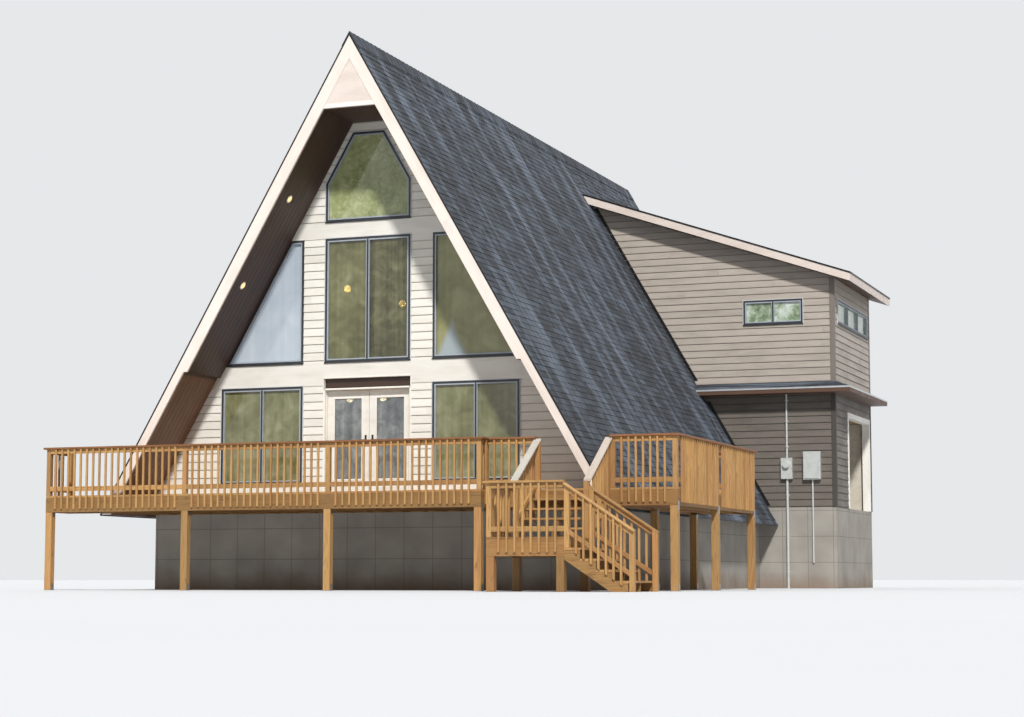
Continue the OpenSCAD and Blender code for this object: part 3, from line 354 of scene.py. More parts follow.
def lamp_finish(name, strength, colour):
    f = Finish(name, 0.3, Emission_Strength=strength, Emission_Color=rgb(colour))
    return f.end(f.ramp(f.noise(30.0), (0.3, "ffdcae"), (0.7, "ffeed6")))


lens = lamp_finish("warm_lens", 2.0, "ffab5e")
room_lens = lamp_finish("warm_globe", 40.0, "ffd8a8")


# Solids made in code

def shoelace(outline):
    """Twice the area of an outline, positive where it runs anticlockwise."""
    return sum(a[0] * b[1] - b[0] * a[1] for a, b in zip(outline, outline[1:] + outline[:1]))


def turn_left(outline):
    """Outline made to run anticlockwise."""
    return list(outline) if shoelace(outline) > 0 else list(outline)[::-1]


def inset(outline, d):
    """Outline moved inwards by d. It runs anticlockwise."""
    moved = []
    for i, p in enumerate(outline):
        sides = ((outline[i - 1], p), (p, outline[(i + 1) % len(outline)]))
        first, second = (Vector((a[1] - b[1], b[0] - a[0])).normalized() for a, b in sides)
        moved.append(tuple(Vector(p) + (first + second) * (d / (1 + first.dot(second)))))
    return moved


def clip(outline, a, b, c):
    """Part of an outline where a*u + b*v is at most c."""
    kept = []
    for p, q in zip(outline, outline[1:] + outline[:1]):
        dp, dq = a * p[0] + b * p[1] - c, a * q[0] + b * q[1] - c
        if dp <= 0:
            kept.append(p)
        if dp * dq < 0:
            t = dp / (dp - dq)
            kept.append((p[0] + t * (q[0] - p[0]), p[1] + t * (q[1] - p[1])))
    return kept


def size_of(outline):
    return abs(shoelace(outline)) / 2


def box(a, b, low, high):
    return [(a, low), (b, low), (b, high), (a, high)]


def tube(n):
    """Faces over four rings of n points, closed at both ends."""
    sides = [(k * n + i, k * n + (i + 1) % n, (k + 1) * n + (i + 1) % n, (k + 1) * n + i)
             for k in range(3) for i in range(n)]
    return sides + [tuple(range(n))[::-1], tuple(range(3 * n, 4 * n))]


def facing_front(u, v, w):
    return (u, w, v)


def facing_side(u, v, w):
    return (w, u, v)


class Pile:
    """Gathers the solids of one piece. Each has its own tone and its own grain along its length."""

    def __init__(self, name):
        self.name = name
        self.chance = random.Random(name)
        self.points, self.faces, self.tones, self.grains = [], [], [], []

    def add(self, points, faces, grains, tone=None):
        start = len(self.points)
        tone = self.chance.random() if tone is None else tone
        self.points += [tuple(p) for p in points]
        self.faces += [[start + i for i in f] for f in faces]
        self.tones += [tone] * len(points)
        self.grains += [tuple(g) for g in grains]

    def board(self, outline, w0, w1, spot, across=False, ease=0.003):
        """Board cut to an outline, from depth w0 to w1, with eased edges. Spot turns u, v, w into a place."""
        outline = turn_left(outline)
        small = inset(outline, ease)
        rings = ((small, w0), (outline, w0 + ease), (outline, w1 - ease), (small, w1))
        points, grains = [], []
        for ring, w in rings:
            for u, v in ring:
                points.append(spot(u, v, w))
                grains.append((v, u, w) if across else (u, v, w))
        self.add(points, tube(len(outline)), grains)

    def beam(self, x, y, z, run="x", place=None, ease=0.003):
        """Straight timber between pairs of limits, with its grain along one axis."""
        def along_front(u, v, w):
            return place @ Vector((u, w, v)) if place else (u, w, v)

        def along_side(u, v, w):
            return place @ Vector((w, u, v)) if place else (w, u, v)
        if run == "y":
            self.board(box(*y, *z), x[0], x[1], along_side, False, ease)
        else:
            self.board(box(*x, *z), y[0], y[1], along_front, run == "z", ease)

    def round_bar(self, a, b, radius, sides=16, ease=0.001):
        """Round bar or disc from a to b, with eased rims."""
        a, b = Vector(a), Vector(b)
        line = (b - a).normalized()
        side = line.orthogonal().normalized()
        other = line.cross(side)
        points, grains = [], []
        long = (b - a).length
        for at, r in ((0, radius - ease), (ease, radius), (long - ease, radius), (long, radius - ease)):
            for k in range(sides):
                t = 2 * math.pi * k / sides
                off = side * (math.cos(t) * r) + other * (math.sin(t) * r)
                points.append(a + line * at + off)
                grains.append((at, off.length, t))
        self.add(points, tube(sides), grains)

    def pin(self, x, y, low, high, radius, sides=20, ease=0.001):
        """Upright round bar."""
        self.round_bar((x, y, low), (x, y, high), radius, sides, ease)

    def rim(self, outline, inner, outer, w0, w1, spot, ease=0.0015):
        """Mitred strips round an outline, from outer outside its edge to inner inside it."""
        outline = turn_left(outline)
        a, b = inset(outline, -outer), inset(outline, inner)
        n = len(outline)
        for i in range(n):
            j = (i + 1) % n
            level = abs(a[j][1] - a[i][1]) < abs(a[j][0] - a[i][0])
            self.board([a[i], a[j], b[j], b[i]], w0, w1, spot, not level, ease)

    def laps(self, cells, spot, course):
        """Rows of lapped boards over convex cells: each board is thickest at its lower edge."""
        pitch, butt, lip, length, start = course
        for cell in cells:
            low, high = min(p[1] for p in cell), max(p[1] for p in cell)
            for row in range(math.floor((low - start) / pitch), math.ceil((high - start) / pitch)):
                v0 = start + row * pitch
                strip = clip(clip(cell, 0, -1, -v0), 0, 1, v0 + pitch)
                if len(strip) < 3:
                    continue
                luck = random.Random(f"{self.name}{row}")
                u = FAR_LEFT + luck.random() * length
                # One draw is passed over, which keeps the tones of the boards as they are
                luck.random()
                end = max(p[0] for p in strip)
                while u < end:
                    tone = luck.random()
                    piece = clip(clip(strip, -1, 0, -(u + JOINT)), 1, 0, u + length - JOINT)
                    if len(piece) > 2 and size_of(piece) > 1e-4:
                        self.lap(piece, v0, pitch, butt, lip, spot, tone)
                    u += length

    def lap(self, piece, v0, pitch, butt, lip, spot, tone):
        """One lapped board: its thickness shrinks from butt at the row's foot to lip at its top."""
        piece = [p for p, q in zip(piece, piece[1:] + piece[:1]) if math.dist(p, q) > 1e-5]
        n = len(piece)
        if n < 3:
            return
        deep = [lip + (butt - lip) * (1 - (v - v0) / pitch) for u, v in piece]
        points = [spot(u, v, 0) for u, v in piece] + [spot(u, v, d) for (u, v), d in zip(piece, deep)]
        grains = [(u, v - v0, 0) for u, v in piece] + [(u, v - v0, d) for (u, v), d in zip(piece, deep)]
        faces = [(i, (i + 1) % n, n + (i + 1) % n, n + i) for i in range(n)]
        faces += [tuple(range(n))[::-1], tuple(range(n, 2 * n))]
        self.add(points, faces, grains, tone)

    def take(self, mesh, place):
        """Adds a mesh that a rule made, moved to its place."""
        n = len(mesh.vertices)
        tones, grains = [0.5] * n, [0.0] * (3 * n)
        if "tone" in mesh.attributes:
            mesh.attributes["tone"].data.foreach_get("value", tones)
        if "grain" in mesh.attributes:
            mesh.attributes["grain"].data.foreach_get("vector", grains)
        start = len(self.points)
        self.points += [tuple(place @ v.co) for v in mesh.vertices]
        self.faces += [[start + i for i in f.vertices] for f in mesh.polygons]
        self.tones += tones
        self.grains += [tuple(grains[3 * i:3 * i + 3]) for i in range(n)]
        bpy.data.meshes.remove(mesh)

    def make(self, material, slot, body="house", replaces=()):
        """Makes the piece of these solids, which rides on a body and may stand in for CAD nodes."""
        mesh = bpy.data.meshes.new(self.name)
        mesh.from_pydata(self.points, [], self.faces)
        work = bmesh.new()
        work.from_mesh(mesh)
        bmesh.ops.recalc_face_normals(work, faces=work.faces)
        work.to_mesh(mesh)
        work.free()
        tone = mesh.attributes.new("tone", "FLOAT", "POINT")
        tone.data.foreach_set("value", self.tones)
        grain = mesh.attributes.new("grain", "FLOAT_VECTOR", "POINT")
        grain.data.foreach_set("vector", [c for g in self.grains for c in g])
        mesh.materials.append(material)
        piece = bpy.data.objects.new(self.name, mesh)
        bpy.context.scene.collection.objects.link(piece)
        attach(piece, body)
        if replaces:
            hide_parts(*replaces)


# Rules for what repeats

class Value:
    """A number in a rule's tree, which can be used in a formula."""

    def __init__(self, rule, socket):
        self.rule, self.socket = rule, socket

    def __add__(self, other):
        return self.rule.math("ADD", self, other)

    def __sub__(self, other):
        return self.rule.math("SUBTRACT", self, other)

    def __rsub__(self, other):
        return self.rule.math("SUBTRACT", other, self)

    def __mul__(self, other):
        return self.rule.math("MULTIPLY", self, other)

    def __truediv__(self, other):
        return self.rule.math("DIVIDE", self, other)

    def __gt__(self, other):
        return self.rule.math("GREATER_THAN", self, other)


class Rule:
    """A geometry-node tree with named sizes."""

    def __init__(self, name, **sizes):
        self.tree = bpy.data.node_groups.new(name, "GeometryNodeTree")
        face = self.tree.interface
        face.new_socket("Geometry", in_out="OUTPUT", socket_type="NodeSocketGeometry")
        for size, start in sizes.items():
            kind = "NodeSocketInt" if isinstance(start, int) else "NodeSocketFloat"
            face.new_socket(size.replace("_", " "), in_out="INPUT", socket_type=kind).default_value = start
        face.new_socket("Finish", in_out="INPUT", socket_type="NodeSocketMaterial")
        self.inlet = self.tree.nodes.new("NodeGroupInput")

    def __getitem__(self, size):
        return Value(self, self.inlet.outputs[size])

    def node(self, kind, sockets=None, out=0, **settings):
        made = self.tree.nodes.new(kind)
        for key, value in settings.items():
            setattr(made, key, value)
        for key, value in (sockets or {}).items():
            socket = made.inputs[key] if isinstance(key, int) else next(
                s for s in made.inputs if s.name == key and s.enabled)
            if isinstance(value, Value):
                self.tree.links.new(value.socket, socket)
            else:
                socket.default_value = value
        return Value(self, made.outputs[out])

    def math(self, kind, a, b=0.0):
        return self.node("ShaderNodeMath", {0: a, 1: b}, operation=kind)

    def least(self, a, b):
        return self.math("MINIMUM", a, b)

    def most(self, a, b):
        return self.math("MAXIMUM", a, b)

    def vector(self, x, y, z):
        return self.node("ShaderNodeCombineXYZ", {0: x, 1: y, 2: z})

    def index(self):
        return self.node("GeometryNodeInputIndex")

    def here(self):
        at = self.node("GeometryNodeInputPosition")
        return [self.node("ShaderNodeSeparateXYZ", {0: at}, out=k) for k in range(3)]

    def chance(self, low, high, number, seed):
        return self.node("FunctionNodeRandomValue", {2: low, 3: high, 7: number, 8: seed}, out=1,
                         data_type="FLOAT")

    def keep(self, shape, name, value, kind="FLOAT", domain="POINT"):
        return self.node("GeometryNodeStoreNamedAttribute", {"Geometry": shape, "Name": name, "Value": value},
                         data_type=kind, domain=domain)

    def points(self, count, place):
        return self.node("GeometryNodePoints", {"Count": count, "Position": place})

    def move(self, shape, place):
        return self.node("GeometryNodeSetPosition", {"Geometry": shape, "Position": place})

    def repeat(self, points, shape, scale=(1, 1, 1), chosen=True):
        many = self.node("GeometryNodeInstanceOnPoints",
                         {"Points": points, "Instance": shape, "Scale": scale, "Selection": chosen})
        return self.keep(many, "tone", self.chance(0.0, 1.0, self.index(), 11), domain="INSTANCE")

    def close(self, shape):
        whole = self.node("GeometryNodeRealizeInstances", {"Geometry": shape})
        ready = self.node("GeometryNodeSetMaterial", {"Geometry": whole, "Material": self["Finish"]})
        end = self.tree.nodes.new("NodeGroupOutput")
        self.tree.links.new(ready.socket, end.inputs[0])
        return self

    def grow(self, finish, **sizes):
        """Runs the rule with these sizes and gives a plain mesh."""
        start = bpy.data.objects.new("start", bpy.data.meshes.new("start"))
        bpy.context.scene.collection.objects.link(start)
        step = start.modifiers.new("rule", "NODES")
        step.node_group = self.tree
        for item in self.tree.interface.items_tree:
            if item.in_out == "INPUT":
                asked = sizes.get(item.name.replace(" ", "_"))
                step[item.identifier] = finish if item.name == "Finish" else (
                    item.default_value if asked is None else asked)
        graph = bpy.context.evaluated_depsgraph_get()
        mesh = bpy.data.meshes.new_from_object(start.evaluated_get(graph))
        start.modifiers.remove(step)
        bpy.data.objects.remove(start)
        return mesh


def shingle_rule():
    """Rows of tabs over a rectangle: each is thickest at its lower edge, and joints don't line up."""
    r = Rule("shingle_rows", Length=5.0, Height=5.0, Exposure=0.143, Tab=0.30, Butt=0.011, Gap=0.004, Seed=1)
    i = r.index()
    columns = r.math("CEIL", r["Length"] / r["Tab"]) + 2.0
    rows = r.math("CEIL", r["Height"] / r["Exposure"] - 0.02)
    row = r.math("FLOOR", (i + 0.5) / columns)
    column = i - row * columns
    shift = r.chance(0.0, 1.0, row, r["Seed"]) + column - 1.0
    x0 = (shift + r.chance(-0.25, 0.25, i, 7)) * r["Tab"]
    x1 = (shift + r.chance(-0.25, 0.25, i + 1.0, 7) + 1.0) * r["Tab"]
    left = r.most(x0, 0.0)
    right = r.least(x1, r["Length"])
    low = row * r["Exposure"]
    high = r.least(r["Exposure"] * 1.03, r["Height"] - low)
    points = r.points(rows * columns + 0.1, r.vector(left + r["Gap"] * 0.5, low, 0.0))
    tab = r.node("GeometryNodeMeshCube")
    x, y, z = r.here()
    tab = r.move(tab, r.vector(x + 0.5, y + 0.5, (z + 0.5) * (1.0 - (y + 0.5) * 0.85)))
    scale = r.vector(right - left - r["Gap"], high, r["Butt"] * r.chance(0.6, 1.35, i, 5))
    return r.close(r.repeat(points, tab, scale, right - left > 0.02))


def ridge_rule():
    """Folded tabs along a ridge, each over the next one."""
    r = Rule("ridge_tabs", Length=5.0, Exposure=0.2, Half=0.16, Thickness=0.012, Steepness=1.7)
    count = r.math("CEIL", r["Length"] / r["Exposure"])
    i = r.index()
    points = r.points(count + 0.1, r.vector(0.0, i * r["Exposure"], 0.0))
    tab = r.node("GeometryNodeMeshCube", {"Vertices X": 5})
    x, y, z = r.here()
    away = r.math("ABSOLUTE", x) * 2.0 * r["Half"]
    step = r.least(r["Exposure"], r["Length"] - i * r["Exposure"])
    tab = r.move(tab, r.vector(x * 2.0 * r["Half"], y + 0.5,
                               (z + 0.5) * r["Thickness"] * (1.9 - y) - away * r["Steepness"]))
    return r.close(r.repeat(points, tab, r.vector(1.0, step, 1.0)))


def screw_rule():
    """Pairs of screw heads on a grid."""
    r = Rule("screw_pairs", Columns=4, Rows=4, Column_Pitch=0.4, Row_Pitch=0.145, Pair=0.09, Radius=0.0045)
    i = r.index()
    pair = r.math("FLOOR", (i + 0.5) / 2.0)
    second = i - pair * 2.0
    row = r.math("FLOOR", (pair + 0.5) / r["Columns"])
    column = pair - row * r["Columns"]
    at = r.vector(column * r["Column Pitch"] + r.chance(-0.004, 0.004, i, 3),
                  row * r["Row Pitch"] + second * r["Pair"], 0.0)
    points = r.points(r["Columns"] * r["Rows"] * 2.0 + 0.1, at)
    head = r.node("GeometryNodeMeshCylinder", {"Vertices": 8, "Radius": r["Radius"], "Depth": 0.003})
    return r.close(r.repeat(points, head))


def baluster_rule():
    """A row of square balusters with eased edges, whose lower ends are cut at a slant."""
    r = Rule("balusters", Count=5, Pitch=0.14, Side=0.038, Foot=-0.278, Top=0.93, Fall=0.0, Slant=0.022)
    i = r.index()
    along = i * r["Pitch"]
    points = r.points(r["Count"], r.vector(along, 0.0, 0.0 - along * r["Fall"]))
    square = r.node("GeometryNodeCurvePrimitiveQuadrilateral", {"Width": r["Side"], "Height": r["Side"]})
    section = r.node("GeometryNodeFilletCurve", {"Curve": square, "Radius": 0.003, "Count": 1}, mode="POLY")
    line = r.node("GeometryNodeCurvePrimitiveLine",
                  {"Start": r.vector(0.0, 0.0, r["Foot"]), "End": r.vector(0.0, 0.0, r["Top"])})
    stick = r.node("GeometryNodeCurveToMesh", {"Curve": line, "Profile Curve": section, "Fill Caps": True})
    x, y, z = r.here()
    low = r.math("LESS_THAN", z, r["Foot"] + 0.01)
    cut = low * (0.5 - y / r["Side"]) * r["Slant"]
    stick = r.move(stick, r.vector(x, y, z + cut - x * r["Fall"]))
    x, y, z = r.here()
    stick = r.keep(stick, "grain", r.vector(z, x, y), "FLOAT_VECTOR")
    return r.close(r.repeat(points, stick))


# Roofs

shingle_rows = shingle_rule()
ridge_tabs = ridge_rule()
screw_pairs = screw_rule()
balusters = baluster_rule()

EDGE = 0.042                        # how far shingles reach past the roof's ends


def plane(at, along, up):
    """Matrix of a sloping field: X along the eave, Y up the slope, Z out of it."""
    along, up = Vector(along).normalized(), Vector(up).normalized()
    return Matrix.Translation(at) @ Matrix((along, up, along.cross(up))).transposed().to_4x4()


def steep_field(side, y0, y1, z0=EAVE - 0.012):
    """Place and size of a rectangle on a main slope, from z0 to the ridge. Side is 1 on the right."""
    at = (side * roof_x(z0), y0 if side > 0 else y1, z0)
    return plane(at, (0, side, 0), (-side * OVER, 0, UP)), y1 - y0, (APEX - 0.02 - z0) / UP


def shingled(name, fields):
    pile = Pile(name)
    for number, (place, length, height) in enumerate(fields):
        pile.take(shingle_rows.grow(shingles, Length=length, Height=height, Seed=number + 1), place)
    pile.make(shingles, "shingles")


shingled("left_shingles", [steep_field(-1, RAKE_FRONT - EDGE, RAKE_BACK + EDGE)])
shingled("right_shingles", [
    steep_field(1, RAKE_FRONT - EDGE, WING_FRONT),
    steep_field(1, WING_FRONT, BACK, WING_TOP),
    steep_field(1, BACK, RAKE_BACK + EDGE),
])
x = WING_EAVE + EDGE
place = plane((x, WING_ROOF_FRONT - EDGE, wing_top(x)), (0, 1, 0), (-1, 0, SHALLOW))
length = WING_ROOF_BACK - WING_ROOF_FRONT + 2 * EDGE
shingled("wing_shingles", [(place, length, (x - WING_TOP_X) / math.cos(WING_SLOPE))])

ridge = Pile("ridge_shingles")
grown = ridge_tabs.grow(shingles, Length=18.1, Steepness=STEEP)
ridge.take(grown, Matrix.Translation((0, RAKE_FRONT - 0.05, APEX + 0.026)))
ridge.make(shingles, "shingles")


def pent_slopes():
    """Shingles of the small roof: its two slopes meet in a hip."""
    pile = Pile("pent_shingles")
    fall = PENT_RISE / PENT_OUT
    tilt = math.hypot(1, fall)
    high = PENT_OUT * tilt

    def front(u, v, w):
        k = v / tilt
        return (u, PENT_FRONT + k - w * fall / tilt, PENT_LOW + k * fall + w / tilt)

    def side(u, v, w):
        k = v / tilt
        return (WING_EAVE - k + w * fall / tilt, u, PENT_LOW + k * fall + w / tilt)
    pile.laps([[(3.53, 0), (WING_EAVE, 0), (WING_SIDE, high), (3.43, high)]], front, TABS)
    pile.laps([[(PENT_FRONT, 0), (BACK, 0), (BACK, high), (WING_FRONT, high)]], side, TABS)
    pile.make(shingles, "shingles")


pent_slopes()


def slope_spot(side, y):
    """Place from u down the slope, v in from its surface and w out of a gable end at y."""
    out = -1 if y < 0 else 1

    def spot(u, v, w):
        return (side * (u * OVER - v * UP), y + out * w, APEX - u * UP - v * OVER)
    return spot


SLOPE = (APEX - EAVE) / UP          # length of a main slope
KINK = (APEX - NOTCH) / UP          # where the lining ends, measured down the slope

# Faces of the edge boards in two lengths a side, and drip edges over them
faces = Pile("rake_faces")
edges = Pile("rake_drip_edges")
wide, narrow, high = 0.246, 0.176, 0.008
for y in (RAKE_FRONT - PLANK, RAKE_BACK + PLANK):
    for side in (-1, 1):
        spot = slope_spot(side, y)
        joint = 4.75 if side < 0 else 4.35
        faces.board([(0.01, high), (joint - 0.001, high), (joint - 0.001, wide), (0.43, wide)],
                    0, 0.010, spot)
        faces.board([(joint + 0.001, high), (SLOPE - 0.006, high), (SLOPE - 0.10, narrow),
                     (KINK - 0.104, narrow), (KINK - 0.144, wide), (joint + 0.001, wide)], 0, 0.010, spot)
        edges.board([(-0.007, -0.012), (SLOPE + 0.01, -0.012), (SLOPE - 0.004, 0.018), (0.031, 0.018)],
                    0.008, 0.016, spot, ease=0.001)
faces.make(trim, "trim")

# Drip edges along the eaves, which the wing interrupts on the right, and round the wing's roof
ends = (RAKE_FRONT - 0.05, RAKE_BACK + 0.05)
for side, stretches in ((-1, (ends,)), (1, ((ends[0], WING_FRONT - 0.06), (BACK + 0.02, ends[1])))):
    x = side * (roof_x(EAVE) + 0.004)
    for stretch in stretches:
        edges.beam(sorted((x - 0.004, x + 0.004)), stretch, (EAVE - 0.02, EAVE + 0.016), "y", ease=0.001)
for y in (WING_ROOF_FRONT - 0.046, WING_ROOF_BACK + 0.046):
    a, b = WING_TOP_X + 0.02, WING_EAVE + 0.046
    za, zb = wing_top(a), wing_top(b)
    edges.board([(a, za + 0.01), (b, zb + 0.01), (b, zb - 0.03), (a, za - 0.03)],
                y - 0.004, y + 0.004, facing_front, ease=0.001)
z = wing_top(WING_EAVE + 0.045)
edges.beam((WING_EAVE + 0.042, WING_EAVE + 0.050), (WING_ROOF_FRONT - 0.05, WING_ROOF_BACK + 0.05),
           (z - 0.03, z + 0.01), "y", ease=0.001)
edges.make(black_metal, "shingles")

pent_edge = Pile("pent_drip_edge")
heights = (PENT_LOW - 0.030, PENT_LOW + 0.008)
near = PENT_FRONT - 0.010
pent_edge.beam((3.50, WING_EAVE + 0.008), (near, near + 0.008), heights, "x", ease=0.001)
pent_edge.beam((WING_EAVE + 0.002, WING_EAVE + 0.010), (near, BACK + 0.005), heights, "y", ease=0.001)
pent_edge.make(pale_metal, "trim")

# Gable panel: a bottom board with its ends cut along the slopes
peak = Pile("peak_trim")
half = roof_x(FLAT) - LINED
for y in (RAKE_FRONT - PLANK, RAKE_BACK + PLANK):
    w0, w1 = sorted((y, y + (-0.012 if y < 0 else 0.012)))
    peak.board([(-half, FLAT), (half, FLAT), (half - 0.05, FLAT + 0.088), (0.05 - half, FLAT + 0.088)],
               w0, w1, facing_front)
peak.make(band_tan, "trim")


def soffit_spot(side, run):
    """Place under a slope: u up along it, v along the house and w down from its lower face."""
    def spot(u, v, w):
        x = roof_x(EAVE) - run - u * OVER - w * UP
        return (side * x, v, EAVE + u * UP - w * OVER)
    return spot


# Soffit boards: high ones under the lining, low ones under the thin part, and the flat top. The low ones are
# a lighter brown, as painted light.
high_boards = Pile("soffit_boards")
low_boards = Pile("low_soffit_boards")
ROWS = 9
kink, flat = (NOTCH - EAVE) / UP, (FLAT - EAVE) / UP
half = roof_x(FLAT) - LINED - 0.012
for y0, y1 in ((RAKE_FRONT + 0.002, FRONT - 0.03), (BACK + 0.03, RAKE_BACK - 0.002)):
    wide = (y1 - y0) / ROWS
    rows = [(y0 + k * wide + 0.002, y0 + (k + 1) * wide - 0.002) for k in range(ROWS)]
    for side in (-1, 1):
        for row in rows:
            high_boards.board(box(kink + 0.004, flat - 0.012, *row), 0.0004, 0.010, soffit_spot(side, LINED))
            low_boards.board(box(0.01, kink - 0.045, *row), 0.0004, 0.010, soffit_spot(side, ROOF))
    for row in rows:
        high_boards.beam((-half, half), row, (FLAT - 0.010, FLAT - 0.0004), "x")
high_boards.make(soffit, "soffit")
low_boards.make(lit_low_soffit, "soffit")

# Recessed lamps in the soffit, two on each side at the front
rings, lenses = Pile("soffit_lamp_rings"), Pile("soffit_lamp_lenses")
for side in (-1, 1):
    down = Vector((-side * UP, 0, -OVER))
    for z, y in ((7.71, -8.69), (6.02, -8.76)):
        at = Vector((side * (roof_x(z) - LINED), y, z)) + down * 0.0102
        rings.round_bar(at, at + down * 0.006, 0.085, 24, 0.002)
        lenses.round_bar(at + down * 0.003, at + down * 0.010, 0.055, 24, 0.002)
rings.make(white, "trim")
lenses.make(lens, "trim")

# Siding

LOW0, LOW1, MID0, MID1, TOP0 = 2.11, 4.058, 4.52, 7.024, 7.356     # feet and heads of the front windows
KNEE, TOP1, TIP = 8.142, 9.159, 0.343           # the top window's slanting corners
MIDDLE_L, MIDDLE_R = -1.13, 0.73                # sides of the middle windows
INNER_L, INNER_R = -1.609, 1.209                # inner sides of the side windows
OUTER_L, OUTER_R = -3.437, 3.037                # outer sides of the lower side windows
DOOR_L, DOOR_R = -1.1585, 0.7585                # sides of the doorway's casing
END_WINDOW, SIDE_WINDOW = (4.605, 6.055), (3.84, 7.44)      # sides of the wing's windows
HIGH0, HIGH1 = 6.30, 6.89                       # their feet and heads
BAY, BAY_FLOOR, BAY_TOP = (4.95, 7.50), 1.915, 4.14         # the wing's open bay


def inner(z):
    """Distance from the ridge line to just inside the roof's underside, at a height."""
    return roof_x(z) - (LINED if z >= NOTCH else ROOF) - 0.004


def cell(z0, z1, left, right):
    """Convex cell between two heights. None stands for the roof's underside, a pair for a slanting side."""
    def side(edge, k, z, sign):
        if edge is None:
            return sign * inner(max(z, z0 + 0.001) if z0 >= NOTCH else z)
        return edge[k] if isinstance(edge, tuple) else edge
    return [(side(left, 0, z0, -1), z0), (side(right, 0, z0, 1), z0),
            (side(right, 1, z1, 1), z1), (side(left, 1, z1, -1), z1)]


gable_cells = [
    cell(LOW0, LOW1, None, OUTER_L), cell(LOW0, LOW1, OUTER_R, None),
    cell(MID0, MID1, INNER_L, MIDDLE_L), cell(MID0, MID1, MIDDLE_R, INNER_R),
    cell(TOP0, KNEE, None, MIDDLE_L), cell(TOP0, KNEE, MIDDLE_R, None),
    cell(KNEE, TOP1, None, (MIDDLE_L, MID - TIP)), cell(KNEE, TOP1, (MIDDLE_R, MID + TIP), None),
    cell(TOP1, FLAT - 0.012, None, None),
]
front_cells = gable_cells + [
    cell(LOW0, LOW1, INNER_L, DOOR_L), cell(LOW0, LOW1, DOOR_R, INNER_R),
    cell(DECK + 0.02, LOW0, None, DOOR_L), cell(DECK + 0.02, LOW0, DOOR_R, None),
]
back_cells = gable_cells + [
    cell(LOW0, LOW1, INNER_L, MIDDLE_L), cell(LOW0, LOW1, MIDDLE_R, INNER_R),
    cell(SIDING_FOOT, LOW0, None, None),
]


def front_face(y):
    return lambda u, v, w: (u, y - w, v)


def back_face(y):
    return lambda u, v, w: (u, y + w, v)


def right_face(x):
    return lambda u, v, w: (x + w, u, v)


pile = Pile("front_siding")
pile.laps(front_cells, front_face(FRONT), SIDING)
pile.make(cream, "siding")
pile = Pile("back_siding")
pile.laps(back_cells, back_face(BACK), SIDING)
pile.make(cream, "siding")


def outer(z):
    """Distance from the ridge line to just outside the main slope, at a height."""
    return roof_x(z) + 0.012


def end_cells(z0, z1, window):
    """Cells of a wing end wall, from the main roof's surface to the corner, cut under the wing's roof."""
    found = []
    for a, b in ((z0, HIGH0), (HIGH0, HIGH1), (HIGH1, z1)) if window else ((z0, z1),):
        whole = [(outer(a), a), (WING_SIDE, a), (WING_SIDE, b), (outer(b), b)]
        if a == HIGH0:
            found += [clip(whole, 1, 0, END_WINDOW[0]), clip(whole, -1, 0, -END_WINDOW[1])]
        else:
            found.append(whole)
    limit = wing_under(0) - 0.004
    return [c for c in (clip(one, SHALLOW, 1, limit) for one in found) if len(c) > 2]


UPPER_FRONT, UPPER_BACK, LOWER_FRONT, LOWER_BACK = 4.88, 4.80, 4.60, 4.70     # ends of the wing's two sidings
top = wing_under(WING_SIDE) - 0.004
upper, lower = Pile("wing_siding"), Pile("wing_lower_siding")
upper.laps(end_cells(UPPER_FRONT, 9.45, True), front_face(WING_FRONT), SIDING)
upper.laps(end_cells(UPPER_BACK, 9.45, True), back_face(BACK), SIDING)
lower.laps(end_cells(WING_FOOT, LOWER_FRONT, False), front_face(WING_FRONT), SIDING)
lower.laps(end_cells(WING_FOOT, LOWER_BACK, False), back_face(BACK), SIDING)
upper.laps([box(WING_FRONT, BACK, UPPER_FRONT, HIGH0), box(WING_FRONT, SIDE_WINDOW[0], HIGH0, HIGH1),
            box(SIDE_WINDOW[1], BACK, HIGH0, HIGH1), box(WING_FRONT, BACK, HIGH1, top)],
           right_face(WING_SIDE), SIDING)
lower.laps([box(WING_FRONT, BAY[0], WING_FOOT, BAY_TOP), box(BAY[1], BACK, WING_FOOT, BAY_TOP),
            box(WING_FRONT, BACK, BAY_TOP, LOWER_FRONT)], right_face(WING_SIDE), SIDING)
upper.make(shaded_taupe, "siding")
lower.make(umber, "dark_siding")

# Corner boards: an upper and a lower pair at the front corner and at the back corner
corners = Pile("wing_corner_boards")
dark_corners = Pile("wing_lower_corner_boards")
WIDE, PROUD = 0.09, 0.022           # width of a trim board, and how far it stands proud
inside, outside = (WING_SIDE - WIDE, WING_SIDE + PROUD), (WING_SIDE + 0.001, WING_SIDE + PROUD)
for pile, at_front, at_back, at_side in (
        (corners, (UPPER_FRONT, top), (UPPER_BACK, top), (UPPER_BACK, top)),
        (dark_corners, (BAY_FLOOR, LOWER_FRONT), (BAY_FLOOR, LOWER_BACK), (BAY_FLOOR, LOWER_FRONT))):
    pile.beam(inside, (WING_FRONT - PROUD, WING_FRONT - 0.001), at_front, "z")
    pile.beam(outside, (WING_FRONT, WING_FRONT + WIDE), at_front, "z")
    pile.beam(inside, (BACK + 0.001, BACK + PROUD), at_back, "z")
    pile.beam(outside, (BACK - WIDE, BACK), at_side, "z")
corners.make(shaded_taupe, "siding")
dark_corners.make(umber, "dark_siding")

